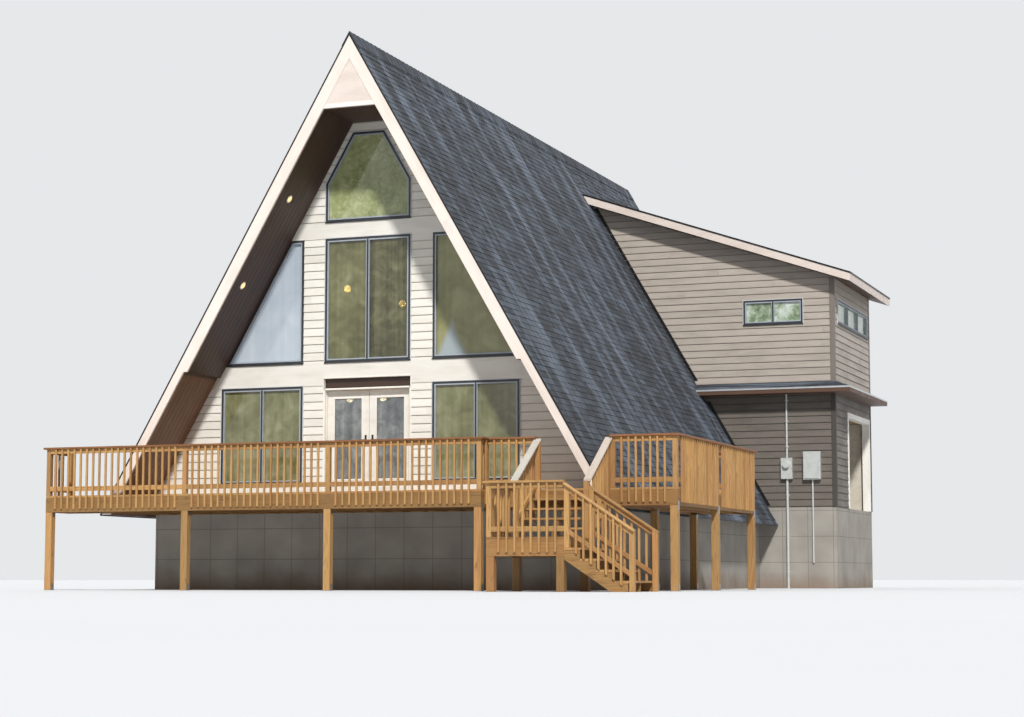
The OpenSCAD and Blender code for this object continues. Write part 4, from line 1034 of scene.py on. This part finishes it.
# Step flashing where the wing's end walls meet the main slope, left out behind the small roof
flashing = Pile("step_flashing")
STEPS = 44
for y, way, low in ((WING_FRONT, -1, 1.95), (BACK, 1, 2.0)):
    rise = (9.40 - low) / STEPS
    w0, w1 = sorted((y + way * 0.0175, y + way * 0.0195))
    for k in range(STEPS):
        z0, z1 = low + rise * k, low + rise * (k + 1) - 0.004
        if way < 0 and LOWER_FRONT - 0.02 < z1 and z0 < UPPER_FRONT + 0.02:
            continue
        a, b = outer(z0) + 0.004, outer(z1) + 0.004
        flashing.board([(a, z0), (a + 0.085, z0), (b + 0.085, z1), (b, z1)],
                       w0, w1, facing_front, ease=0.0005)
flashing.make(black_metal, "shingles")

belt = Pile("wing_back_band")
reach = WING_SIDE + 0.022
low, high = LOWER_BACK, UPPER_BACK
belt.board([(outer(low), low), (reach, low), (reach, high), (outer(high), high)],
           BACK + 0.001, BACK + 0.026, facing_front)
belt.make(band_tan, "trim")

# Frame round the open bay: boards on the wall, and a lining through its thickness
bay = Pile("bay_trim")
x0, x1, x2 = WING_SIDE - 0.16, WING_SIDE + 0.001, WING_SIDE + 0.024
y0, y1 = BAY
for a in (y0 - WIDE, y1):
    bay.beam((x1, x2), (a, a + WIDE), (BAY_FLOOR, BAY_TOP), "z")
bay.beam((x1, x2 + 0.004), (y0 - WIDE, y1 + WIDE), (BAY_TOP, BAY_TOP + 0.10), "y")
for a in (y0, y1 - PROUD):
    bay.beam((x0, x2 + 0.002), (a, a + PROUD), (BAY_FLOOR, BAY_TOP - PROUD), "z")
bay.beam((x0, x2 + 0.002), (y0, y1), (BAY_TOP - PROUD, BAY_TOP), "y")
bay.make(white, "trim")

# Windows and doors

FRAME, BAR = 0.06, 0.05             # widths of a window's frame and of its upright bars
CASING, HEAD = 0.9585, 0.94         # half widths of the doorway's casing and head
HEAD_LOW, HEAD_TOP = 4.0, 4.196
CASING_FRONT = -7.772               # front face of the casing
DOOR_FRONT, DOOR_BACK = -7.644, -7.600      # faces of the closed doors
STILE = 0.15
LEAF, MEETING = 0.9125, 0.0045      # from the middle to a leaf's outer edge and to its meeting edge
DOOR_GLASS, DOOR_PANEL = (2.182, 3.804), (1.985, 2.12)      # heights of a leaf's glass and low panel
HANDLE = 2.96                       # height of the handles


def slant(side, x):
    """Window between an upright side at x and the roof's underside."""
    low, high = (side * (roof_x(z) - LINED) for z in (MID0, MID1))
    if side < 0:
        return [(low, MID0), (x, MID0), (x, MID1), (high, MID1)]
    return [(x, MID0), (low, MID0), (high, MID1), (x, MID1)]


left_hole = box(OUTER_L, INNER_L, LOW0, LOW1)
right_hole = box(INNER_R, OUTER_R, LOW0, LOW1)
centre_hole = box(MIDDLE_L, MIDDLE_R, LOW0, LOW1)
middle_hole = box(MIDDLE_L, MIDDLE_R, MID0, MID1)
top_hole = [(MIDDLE_L, TOP0), (MIDDLE_R, TOP0), (MIDDLE_R, KNEE),
            (MID + TIP, TOP1), (MID - TIP, TOP1), (MIDDLE_L, KNEE)]
slant_left, slant_right = slant(-1, INNER_L), slant(1, INNER_R)
end_hole = box(*END_WINDOW, HIGH0, HIGH1)
side_hole = box(*SIDE_WINDOW, HIGH0, HIGH1)

# Holes in both gables, and how many sheets of glass each has side by side
gable_holes = [(left_hole, 2), (right_hole, 2), (middle_hole, 2),
               (top_hole, 1), (slant_left, 1), (slant_right, 1)]


def lights(hole, bars):
    """Outlines of the sheets of glass of one window."""
    parts = [inset(turn_left(hole), FRAME)]
    for x in bars:
        halves = [clip(one, way, 0, way * x - BAR / 2) for one in parts for way in (1, -1)]
        parts = [half for half in halves if len(half) > 2]
    return parts


beads, outers, sills = Pile("window_beads"), Pile("window_outer_trim"), Pile("window_sills")


def dress(hole, sheets, spot, trimmed=True):
    """Glazing beads, an outer trim, the bars and a sill. The spot's w runs outwards from the wall."""
    left, right = min(p[0] for p in hole), max(p[0] for p in hole)
    low, high = min(p[1] for p in hole), max(p[1] for p in hole)
    bars = [left + (right - left) * k / sheets for k in range(1, sheets)]
    for part in lights(hole, bars):
        beads.rim(part, 0.011, 0.015, -0.020, 0.0285, spot)
    if trimmed:
        outers.rim(hole, -0.001, 0.016, 0.002, 0.030, spot)
    for x in bars:
        sills.board(box(x - 0.020, x + 0.020, low + FRAME, high - FRAME), 0.0255, 0.033, spot, True)
    sills.board(box(left - 0.01, right + 0.01, low - 0.018, low + 0.012), 0.004, 0.044, spot)


for hole, sheets in gable_holes:
    trimmed = hole not in (slant_left, slant_right)
    dress(hole, sheets, front_face(FRONT), trimmed)
    dress(hole, sheets, back_face(BACK), trimmed)
dress(centre_hole, 2, back_face(BACK))
dress(end_hole, 2, front_face(WING_FRONT))
dress(end_hole, 2, back_face(BACK))
dress(side_hole, 3, right_face(WING_SIDE))
beads.make(bead_grey, "window_frame")
outers.make(grey_trim, "window_frame")
sills.make(bronze, "window_frame")

# Doorway: casings, threshold, and a dark head with a thin light moulding. The dark head is a strip of painted
# shade at the top of the door's recess.
casing = Pile("doorway_casing")
for side in (-1, 1):
    x = sorted((MID + side * CASING, MID + side * (CASING - 0.04)))
    casing.beam(x, (CASING_FRONT, -7.691), (FLOOR, HEAD_LOW), "z")
    x = sorted((MID + side * CASING, MID + side * HEAD))
    casing.beam(x, (CASING_FRONT - 0.006, -7.62), (HEAD_LOW, HEAD_TOP + 0.022), "z")
casing.beam((MID - HEAD, MID + HEAD), (CASING_FRONT, -7.691), (HEAD_LOW - 0.034, HEAD_LOW), "x")
casing.beam((MID - CASING, MID + CASING), (CASING_FRONT - 0.010, -7.70), (HEAD_TOP, HEAD_TOP + 0.026), "x")
casing.make(white, "white_wood")
head = Pile("doorway_head")
head.beam((MID - HEAD, MID + HEAD), (-7.70, -7.652), (HEAD_LOW, HEAD_TOP), "x")
head.make(brown_head, "soffit")

sill = Pile("door_threshold")
section = [(-7.775, FLOOR), (-7.70, FLOOR), (-7.70, FLOOR + 0.005), (-7.765, FLOOR + 0.004)]
sill.board(section, MID - CASING + 0.04, MID + CASING - 0.04, facing_side, ease=0.0008)
for k in range(4):
    y = -7.760 + k * 0.015
    sill.beam((MID - 0.91, MID + 0.91), (y, y + 0.005), (FLOOR + 0.002, FLOOR + 0.0075), "x", ease=0.0008)
sill.make(steel, "hinge")

# Each door's mouldings on both faces, and its handle beside the meeting edge
for body, way in (("left_door", -1), ("right_door", 1)):
    x0, x1 = sorted((MID + way * LEAF, MID + way * MEETING))
    faces = (front_face(DOOR_FRONT), back_face(DOOR_BACK))
    a, b = x0 + STILE, x1 - STILE
    dressing = Pile(body + "_mouldings")
    for spot in faces:
        dressing.rim(box(a, b, *DOOR_GLASS), 0.010, 0.016, -0.008, 0.0075, spot, 0.002)
        dressing.rim(box(a, b, *DOOR_PANEL), 0.012, 0.0, 0.0002, 0.005, spot)
        low, high = DOOR_PANEL
        dressing.board(box(a + 0.035, b - 0.035, low + 0.033, high - 0.033), 0.0002, 0.004, spot)
    dressing.make(white, "white_wood", body)
    handle = Pile(body + "_handle")
    x = MID + way * (MEETING + 0.07)
    for spot in faces:
        plate = box(x - 0.021, x + 0.021, HANDLE - 0.12, HANDLE + 0.10)
        handle.board(plate, 0.0002, 0.008, spot, True, 0.002)
        handle.round_bar(spot(x, HANDLE, 0.007), spot(x, HANDLE, 0.050), 0.011)
        ends = sorted((x - way * 0.012, x + way * 0.115))
        handle.board(box(*ends, HANDLE - 0.011, HANDLE + 0.011), 0.040, 0.054, spot, False, 0.004)
        handle.round_bar(spot(x, HANDLE - 0.075, 0.007), spot(x, HANDLE - 0.075, 0.012), 0.009)
    handle.make(black_metal, "hinge", body)

# Lamps that show through the glass: two globes on long rods, and two on the ground floor's ceiling
rods, globes = Pile("room_lamp_rods"), Pile("room_lamp_globes")
GLOBE, SLICES = 0.07, 6
for x, y, low, high in ((-1.294, -6.375, 6.27, 8.19), (-0.05, -6.375, 5.90, 10.34),
                        (-1.43, -5.92, 4.02, 4.139), (-0.67, -5.92, 4.02, 4.139)):
    rods.pin(x, y, low, high, 0.008, 10)
    rods.pin(x, y, low, low + 0.05, 0.03, 16, 0.004)
    for k in range(SLICES):
        t0, t1 = (math.pi * (k + j) / SLICES for j in (0, 1))
        z0, z1 = (low - GLOBE + GLOBE * math.cos(t) for t in (t1, t0))
        globes.pin(x, y, z0 + 0.0002, z1, GLOBE * math.sin((t0 + t1) / 2), 20, 0.004)
rods.make(black_metal, "hinge")
globes.make(room_lens, "glass")

# Electric boxes

METER, PANEL = 5.63, 6.24           # middle lines of the meter and the panel
PIPE = 3.455                        # the pipes' distance along Y, in front of the wing's wall

pipes, fittings = Pile("meter_pipes"), Pile("box_fittings")
pipes.pin(METER, PIPE, 3.079, 4.60, 0.024)
pipes.pin(METER, PIPE, 0.0, 2.581, 0.030)
pipes.pin(PANEL, PIPE + 0.005, 0.6, 2.561, 0.020)
pipes.make(box_grey, "box_metal")
for z in (3.35, 3.95, 4.45, 2.2, 1.2, 0.4):
    fittings.beam((METER - 0.045, METER + 0.045), (3.474, 3.489), (z - 0.012, z + 0.012), "x")
    fittings.pin(METER, PIPE, z - 0.014, z + 0.014, 0.035)
fittings.round_bar((METER, 3.320, 2.91), (METER, 3.306, 2.91), 0.078, 32, 0.004)
fittings.rim(box(METER - 0.125, METER + 0.125, 2.59, 3.07), 0.010, 0.0, 3.376, 3.381, facing_front)
fittings.rim(box(PANEL - 0.178, PANEL + 0.178, 2.587, 3.193), 0.008, 0.0, 3.3535, 3.359, facing_front)
fittings.beam((6.385, 6.400), (3.349, 3.359), (2.84, 2.92), "z")
for z in (2.70, 2.90, 3.08):
    fittings.pin(6.056, 3.362, z - 0.03, z + 0.03, 0.006, 12)
fittings.make(box_grey, "box_metal")

# Decks

DECK_LEFT, DECK_FRONT = -6.06, -10.07
JOG, SIDE_FRONT = 3.14, -9.75       # where the front edge steps back, and how far
PORCH = -9.238                      # behind this line the deck lies between the feet of the roof
DECK_IN, FRAME_IN = 4.921, 4.8711   # the deck's edge there, and its framing's edge
SIDE_IN, SIDE_FRAME_IN = 5.2509, 5.416
SIDE_RIGHT, SIDE_BACK = 6.75, -4.15
BOARD, SPACE, LENGTH = 0.140, 0.005, 4.87       # width of a board, the gap beside it, and its length
JOIST_LOW, JOIST_TOP = 1.516, DECK - PLANK
LEG = 0.14                          # side of a post under the decks

deck = Pile("deck_boards")
side_deck = Pile("side_deck_boards")


def deck_rows(pile, y0, y1, left, right):
    """Boards along X between two limits, in lengths whose joints shift from row to row."""
    count = round((y1 - y0) / (BOARD + SPACE))
    pitch = (y1 - y0) / count
    for k in range(count):
        row = (y0 + k * pitch + SPACE / 2, y0 + (k + 1) * pitch - SPACE / 2)
        first = LENGTH if right - left < 5 else (k % 3 + 1) * 1.2
        x = left
        while x < right - 0.01:
            end = min(right, x + (first if x == left else LENGTH))
            if right - end < 0.4:
                end = right
            pile.beam((x + 0.001, end - 0.001), row, (DECK - PLANK, DECK), "x")
            x = end


deck_rows(deck, DECK_FRONT, SIDE_FRONT, DECK_LEFT, JOG)
deck_rows(deck, SIDE_FRONT, PORCH, DECK_LEFT, DECK_IN)
deck_rows(deck, PORCH, FRONT, -DECK_IN, DECK_IN)
deck_rows(side_deck, SIDE_FRONT, PORCH, DECK_IN, SIDE_RIGHT)
deck_rows(side_deck, PORCH, SIDE_BACK, SIDE_IN, SIDE_RIGHT)
deck.make(pine, "floor_boards", replaces=["deck_floor"])
side_deck.make(pine, "floor_boards", replaces=["side_deck_floor"])


def framing(pile, x0, x1, y0, y1, z0=JOIST_LOW, z1=JOIST_TOP):
    """Joists between two edge boards, at the spacing that the CAD frame has."""
    bays = round((x1 - x0) / 0.406)
    step = (x1 - x0 - PLANK) / bays
    for i in range(bays + 1):
        x = x0 + i * step
        pile.beam((x, x + PLANK), (y0 + PLANK + 0.0005, y1 - PLANK - 0.0005), (z0, z1), "y")
    pile.beam((x0, x1), (y0, y0 + PLANK), (z0, z1), "x")
    pile.beam((x0, x1), (y1 - PLANK, y1), (z0, z1), "x")


joists, side_joists = Pile("deck_framing"), Pile("side_deck_framing")
framing(joists, DECK_LEFT, -FRAME_IN, DECK_FRONT, PORCH)
framing(joists, -FRAME_IN, JOG, DECK_FRONT, FRONT)
framing(joists, JOG, FRAME_IN, SIDE_FRONT, FRONT)
framing(side_joists, FRAME_IN, SIDE_FRAME_IN, SIDE_FRONT, PORCH)
framing(side_joists, SIDE_FRAME_IN, SIDE_RIGHT, SIDE_FRONT, SIDE_BACK)
joists.make(shaded_frame_pine, "pine", replaces=["deck_frame"])
side_joists.make(shaded_frame_pine, "pine", replaces=["side_deck_frame"])

legs, bases = Pile("deck_legs"), Pile("post_bases")
across, back = (JOG - DECK_LEFT - LEG) / 3, (SIDE_BACK - SIDE_FRONT - LEG) / 2
spots = [(DECK_LEFT + i * across, DECK_FRONT) for i in range(4)]
spots += [(SIDE_RIGHT - LEG, SIDE_FRONT + i * back) for i in range(3)]
spots += [(SIDE_FRAME_IN, SIDE_FRONT + i * back) for i in (1, 2)]
for x, y in spots:
    legs.beam((x, x + LEG), (y, y + LEG), (0.0, JOIST_LOW), "z", ease=0.006)
    bases.beam((x - 0.003, x + LEG + 0.003), (y - 0.003, y + LEG + 0.003), (0.0, 0.006), "x", ease=0.001)
    for plate in ((x - 0.0035, x - 0.0005), (x + LEG + 0.0005, x + LEG + 0.0035)):
        for heights in ((0.002, 0.13), (1.43, 1.60)):
            bases.beam(plate, (y + 0.03, y + 0.11), heights, "z", ease=0.001)
legs.make(pine, "pine", replaces=["deck_posts"])
bases.make(steel, "hinge")

# Stairs and landing

STAIR_X, STAIR_W = 4.10, 1.4        # left side and width of the upper flight
LANDING_FRONT, LANDING_BACK = -12.27, -10.87
TREADS, NOSING = 4, 0.02            # treads in a flight, and how far each reaches over the next riser

treads, stringers, landing = Pile("stair_boards"), Pile("stair_sides"), Pile("landing_boards")


def frame_at(x, y, z, angle=0.0, mirror=False):
    """Matrix of a place, turned round the upright axis, and mirrored in the middle of a flight."""
    place = Matrix.Translation((x, y, z)) @ Matrix.Rotation(math.radians(angle), 4, "Z")
    if mirror:
        place = place @ Matrix.Translation((0, STAIR_W, 0)) @ Matrix.Scale(-1, 4, (0, 1, 0))
    return place


def upright(place):
    """Spot for an upright board at a place: u along it, w through it and v up."""
    return lambda u, v, w: place @ Vector((u, w, v))


def stringer(bottom, last):
    """Outline of a stringer, cut for the treads, down to a height at its far end."""
    steps = [((i - 1 + j) * RUN, -i * RISE - PLANK) for i in range(1, TREADS + 1) for j in (0, 1)]
    return steps + [(TREADS * RUN, bottom)] + last + [(0, -RISE - PLANK - 0.16)]


upper_flight = (STAIR_X, SIDE_FRONT, DECK, -90)
lower_flight = (STAIR_X + STAIR_W, LANDING_FRONT, LANDING, 0)
on_landing = stringer(-4 * RISE - 0.382, [])
on_ground = stringer(-LANDING, [(0.8187, -LANDING)])

for flight, outline in ((upper_flight, on_landing), (lower_flight, on_ground)):
    place = frame_at(*flight)
    for i in range(1, TREADS + 1):
        a, b = (i - 1) * RUN, i * RUN + NOSING
        half = (a + b) / 2
        for u in ((a, half - 0.003), (half + 0.003, b)):
            treads.beam(u, (0.0, STAIR_W), (-i * RISE - PLANK, -i * RISE), "y", place, 0.005)
    for k in range(3):
        y = k * (STAIR_W - PLANK) / 2
        stringers.board(outline, y, y + PLANK, upright(place), ease=0.0025)
treads.make(pine, "floor_boards", replaces=["stair_treads"])
stringers.make(shaded_frame_pine, "pine", replaces=["stair_stringers"])

landing_low, landing_top = 0.596, LANDING - PLANK
framing(landing, STAIR_X, STAIR_X + STAIR_W, LANDING_FRONT, LANDING_BACK, landing_low, landing_top)
for k in range(10):
    y = LANDING_FRONT + k * STAIR_W / 10
    landing.beam((STAIR_X, STAIR_X + STAIR_W), (y + 0.0025, y + 0.1375), (landing_top, LANDING), "x")
for x in (STAIR_X, STAIR_X + STAIR_W - LEG):
    for y in (LANDING_FRONT, LANDING_BACK - LEG):
        landing.beam((x, x + LEG), (y, y + LEG), (0, landing_low), "z", ease=0.006)
landing.make(shaded_frame_pine, "pine", replaces=["landing"])

# Railings

POST, STICK, CAP_OUT = 0.089, 0.038, 0.051      # sides of a post and a baluster, and a cap's reach
SPACING = 0.14                                  # about what lies between two balusters' middles
RAIL, STAIR_RAIL = 0.95, 0.912                  # tops of the caps, over the decks and over the treads
UNDER_CAP = 0.034                               # where posts, bars and balusters end under a cap's top
TOP_BAR, LOW_BAR = 0.127, (0.09, 0.179)         # depth of the top bar under the cap's top, and the low bar


def bar(a, b, low, high, fall):
    """Outline of a bar from a to b between two heights, which falls along its length."""
    return [(a, low - fall * a), (b, low - fall * b), (b, high - fall * b), (a, high - fall * a)]


class Railing:
    """Posts, bars, balusters and a flat cap, along X from a start point. It may fall along its length."""

    def __init__(self, name, nodes, cap=pine_cap):
        self.wood, self.caps = Pile(name), Pile(name + "_cap")
        self.cap_finish, self.nodes = cap, nodes

    def cap(self, place, a, b, high=RAIL, fall=0.0):
        self.caps.board(bar(a, b, high - PLANK, high, fall), -CAP_OUT, POST, upright(place), ease=0.005)

    def post(self, place, u, foot=0.0, high=RAIL, fall=0.0):
        top = high - UNDER_CAP
        outline = [(u, foot), (u + POST, foot), (u + POST, top - fall * (u + POST)), (u, top - fall * u)]
        self.wood.board(outline, 0.0, POST, upright(place), True, 0.004)

    def bay(self, place, a, b, high=RAIL, fall=0.0, drop=0.278):
        """Two bars and the balusters between a and b. The balusters reach down past the floor by drop."""
        for low, top in ((high - TOP_BAR, high - UNDER_CAP), LOW_BAR):
            self.wood.board(bar(a, b, low, top, fall), 0.0, STICK, upright(place))
        count = max(1, round((b - a) / SPACING) - 1)
        gap = (b - a) / (count + 1)
        first = a + gap
        grown = balusters.grow(pine, Count=count, Pitch=gap, Foot=-drop, Top=high - UNDER_CAP, Fall=fall)
        self.wood.take(grown, place @ Matrix.Translation((first, -STICK / 2, -fall * first)))

    def level(self, place, length, posts):
        gap = (length - POST) / (posts - 1)
        for i in range(posts):
            self.post(place, i * gap)
        for i in range(1, posts):
            self.bay(place, (i - 1) * gap + POST, i * gap)

    def short(self, place, end, start=0.0):
        """A post at the start and one bay, whose far end meets another railing."""
        self.cap(place, start, end)
        self.post(place, 0)
        self.bay(place, POST, end)

    def make(self):
        self.wood.make(pine, "pine", replaces=self.nodes)
        self.caps.make(self.cap_finish, "pine", replaces=self.nodes)


def long_railing(name, node, place, length, posts, joint):
    """Level railing whose cap is two boards that meet at a joint."""
    rail = Railing(name, [node])
    rail.level(place, length, posts)
    rail.cap(place, -CAP_OUT, joint)
    rail.cap(place, joint + 0.002, length + CAP_OUT)
    rail.make()


long_railing("front_rail", "front_railing", frame_at(DECK_LEFT, DECK_FRONT, DECK), JOG - DECK_LEFT, 4, 4.58)

rail = Railing("left_rail", ["left_railing"])
rail.short(frame_at(DECK_LEFT, PORCH, DECK, -90), PORCH - DECK_FRONT - POST)
rail.make()

rail = Railing("corner_rail", ["corner_railing"])
place = frame_at(JOG - POST, SIDE_FRONT, DECK)
rail.level(place, STAIR_X - JOG + POST, 2)
rail.cap(place, 0, STAIR_X - JOG + POST)
place = frame_at(JOG, DECK_FRONT, DECK, 90)
rail.cap(place, POST, SIDE_FRONT - DECK_FRONT)
rail.bay(place, POST, SIDE_FRONT - DECK_FRONT)
rail.make()

long_railing("side_rail", "side_railing", frame_at(SIDE_RIGHT, SIDE_FRONT, DECK, 90),
             SIDE_BACK - SIDE_FRONT, 3, 2.80)

rail = Railing("side_end_rails", ["side_end_railings"])
rail.short(frame_at(STAIR_X + STAIR_W, SIDE_FRONT, DECK), SIDE_RIGHT - STAIR_X - STAIR_W - POST)
place = frame_at(SIDE_RIGHT, SIDE_BACK, DECK, 180)
length = SIDE_RIGHT - SIDE_IN
rail.cap(place, POST, length)
rail.post(place, length - POST)
rail.bay(place, POST, length - POST)
rail.make()

rail = Railing("landing_front_rail", ["landing_front_railing"], pine)
rail.short(frame_at(STAIR_X, LANDING_FRONT, LANDING), STAIR_W, -CAP_OUT)
rail.make()

rail = Railing("landing_side_rail", ["landing_side_railing"], pine)
place = frame_at(STAIR_X, LANDING_BACK, LANDING, -90)
rail.cap(place, NOSING + POST, STAIR_W - POST)
rail.bay(place, NOSING + POST, STAIR_W - POST)
rail.make()

for name, flight, cap in (("upper_hand", upper_flight, sunlit_grey_pine), ("lower_hand", lower_flight, pine)):
    rail = Railing(name + "_rails", [name + "rails"], cap)
    for mirror in (False, True):
        place = frame_at(*flight, mirror)
        newel = 4 * RUN + NOSING
        rail.cap(place, 0, newel + POST, STAIR_RAIL, FALL)
        rail.post(place, 0, -RISE, STAIR_RAIL, FALL)
        rail.post(place, newel, -5 * RISE, STAIR_RAIL, FALL)
        rail.bay(place, POST, newel, STAIR_RAIL, FALL, 0.16)
    rail.make()

# Screws of the deck boards, in pairs over the joists
heads = Pile("deck_screws")
for x, y, columns, rows, pitch in ((-FRAME_IN, PORCH, 20, 10, 0.1488), (DECK_LEFT, SIDE_FRONT, 3, 4, 0.128),
                                   (SIDE_FRAME_IN, PORCH, 4, 35, 0.14537)):
    grown = screw_pairs.grow(
        steel, Columns=columns, Rows=rows, Column_Pitch=0.4021, Row_Pitch=pitch, Pair=0.085)
    heads.take(grown, Matrix.Translation((x + PLANK / 2, y + 0.03, DECK - 0.001)))
heads.make(steel, "hinge")

# Finishes of the CAD nodes

FINISHES = (
    (concrete, "foundation wing_foundation"),
    (pine_room, "ground_floor upper_floor wing_floor"),
    (sheathing, "front_wall_left front_wall_right front_wall_upper back_wall"),
    (sheathing, "bay_inner_wall wing_front_upper wing_side_upper wing_back_wall"),
    (dark_sheathing, "wing_front_lower wing_side_lower"),
    (band_tan, "wall_bands"),
    (panel_tan, "rake_boards_left rake_boards_right gable_peaks wing_fascia"),
    (under_deck, "roof_left roof_right wing_roof pent_roof"),
    (shingles, "ridge_cap"),
    (soffit, "soffit_left soffit_right"),
    (bronze, "front_windows back_windows wing_windows"),
    (olive, "front_glass back_glass"),
    (pale_green, "wing_glass"),
    (white_wood, "door_frame front_door_left front_door_right"),
    (room_glass, "door_glass_left door_glass_right"),
    (steel, "door_hinges"),
    (box_grey, "meter_box panel_box"),
)
for finish, names in FINISHES:
    for name in names.split():
        cad[name].data.materials.clear()
        cad[name].data.materials.append(finish)

# Painted reflections: the left slanting pane is pale blue with sky, the top one light olive, and the others
# darker olives of mirrored woods
panes = cad["front_glass"].data
for finish in (pale_blue, high_olive, dark_olive, bright_olive, low_olive):
    panes.materials.append(finish)
for face in panes.polygons:
    at = face.center
    if at.z > TOP0:
        face.material_index = 2
    elif at.z > 4.4:
        face.material_index = 1 if at.x < -1.6 else 4 if at.x > 1.2 else 3 if at.x > MID else 0
    else:
        face.material_index = 5

# Floor, light and camera

floor_shape = bmesh.new()
bmesh.ops.create_circle(floor_shape, cap_ends=True, segments=96, radius=900)
floor_mesh = bpy.data.meshes.new("studio_floor")
floor_shape.to_mesh(floor_mesh)
floor_shape.free()
studio_floor = bpy.data.objects.new("studio_floor", floor_mesh)
bpy.context.scene.collection.objects.link(studio_floor)
paint = Finish("studio_floor", 0.9)
floor_mesh.materials.append(paint.end(paint.ramp(paint.noise(0.2), (0.0, "d3d5d8"), (1.0, "d8dadd"))))

world = bpy.data.worlds.new("studio")
bpy.context.scene.world = world
world.use_nodes = True
web = world.node_tree
ray = web.nodes.new("ShaderNodeLightPath")
seen = ray.outputs["Is Camera Ray"]
for kind in ("Is Transmission Ray", "Is Glossy Ray"):
    either = web.nodes.new("ShaderNodeMath")
    either.operation = "MAXIMUM"
    web.links.new(seen, either.inputs[0])
    web.links.new(ray.outputs[kind], either.inputs[1])
    seen = either.outputs[0]
soft = web.nodes["Background"]
pale = web.nodes.new("ShaderNodeBackground")
both = web.nodes.new("ShaderNodeMixShader")
soft.inputs["Color"].default_value = (0.93, 0.96, 1.0, 1)
soft.inputs["Strength"].default_value = 0.27
pale.inputs["Color"].default_value = rgb("e6e8ea")
pale.inputs["Strength"].default_value = 1.0
web.links.new(seen, both.inputs[0])
web.links.new(soft.outputs[0], both.inputs[1])
web.links.new(pale.outputs[0], both.inputs[2])
web.links.new(both.outputs[0], web.nodes["World Output"].inputs["Surface"])


def lamp(name, strength, spread, height, bearing, colour):
    light = bpy.data.lights.new(name, "SUN")
    light.energy, light.angle, light.color = strength, math.radians(spread), colour
    made = bpy.data.objects.new(name, light)
    made.rotation_euler = (math.radians(90 - height), 0, math.radians(bearing))
    bpy.context.scene.collection.objects.link(made)


lamp("key_light", 3.65, 4, 42, 26, (1.0, 0.985, 0.955))
lamp("fill_light", 0.35, 60, 30, -55, (0.92, 0.96, 1.0))
lamp("back_light", 0.8, 60, 45, 200, (1.0, 1.0, 1.0))

eye = Vector((17.158, -45.653, 0.204))
aim = Vector((0.55, -1.6, 5.15))
view = bpy.data.cameras.new("camera")
view.sensor_width = 36
view.lens = 74
view.clip_end = 2000
camera = bpy.data.objects.new("camera", view)
camera.location = eye
camera.rotation_euler = (aim - eye).to_track_quat("-Z", "Y").to_euler()
bpy.context.scene.collection.objects.link(camera)
bpy.context.scene.camera = camera
bpy.context.scene.view_settings.view_transform = "Standard"
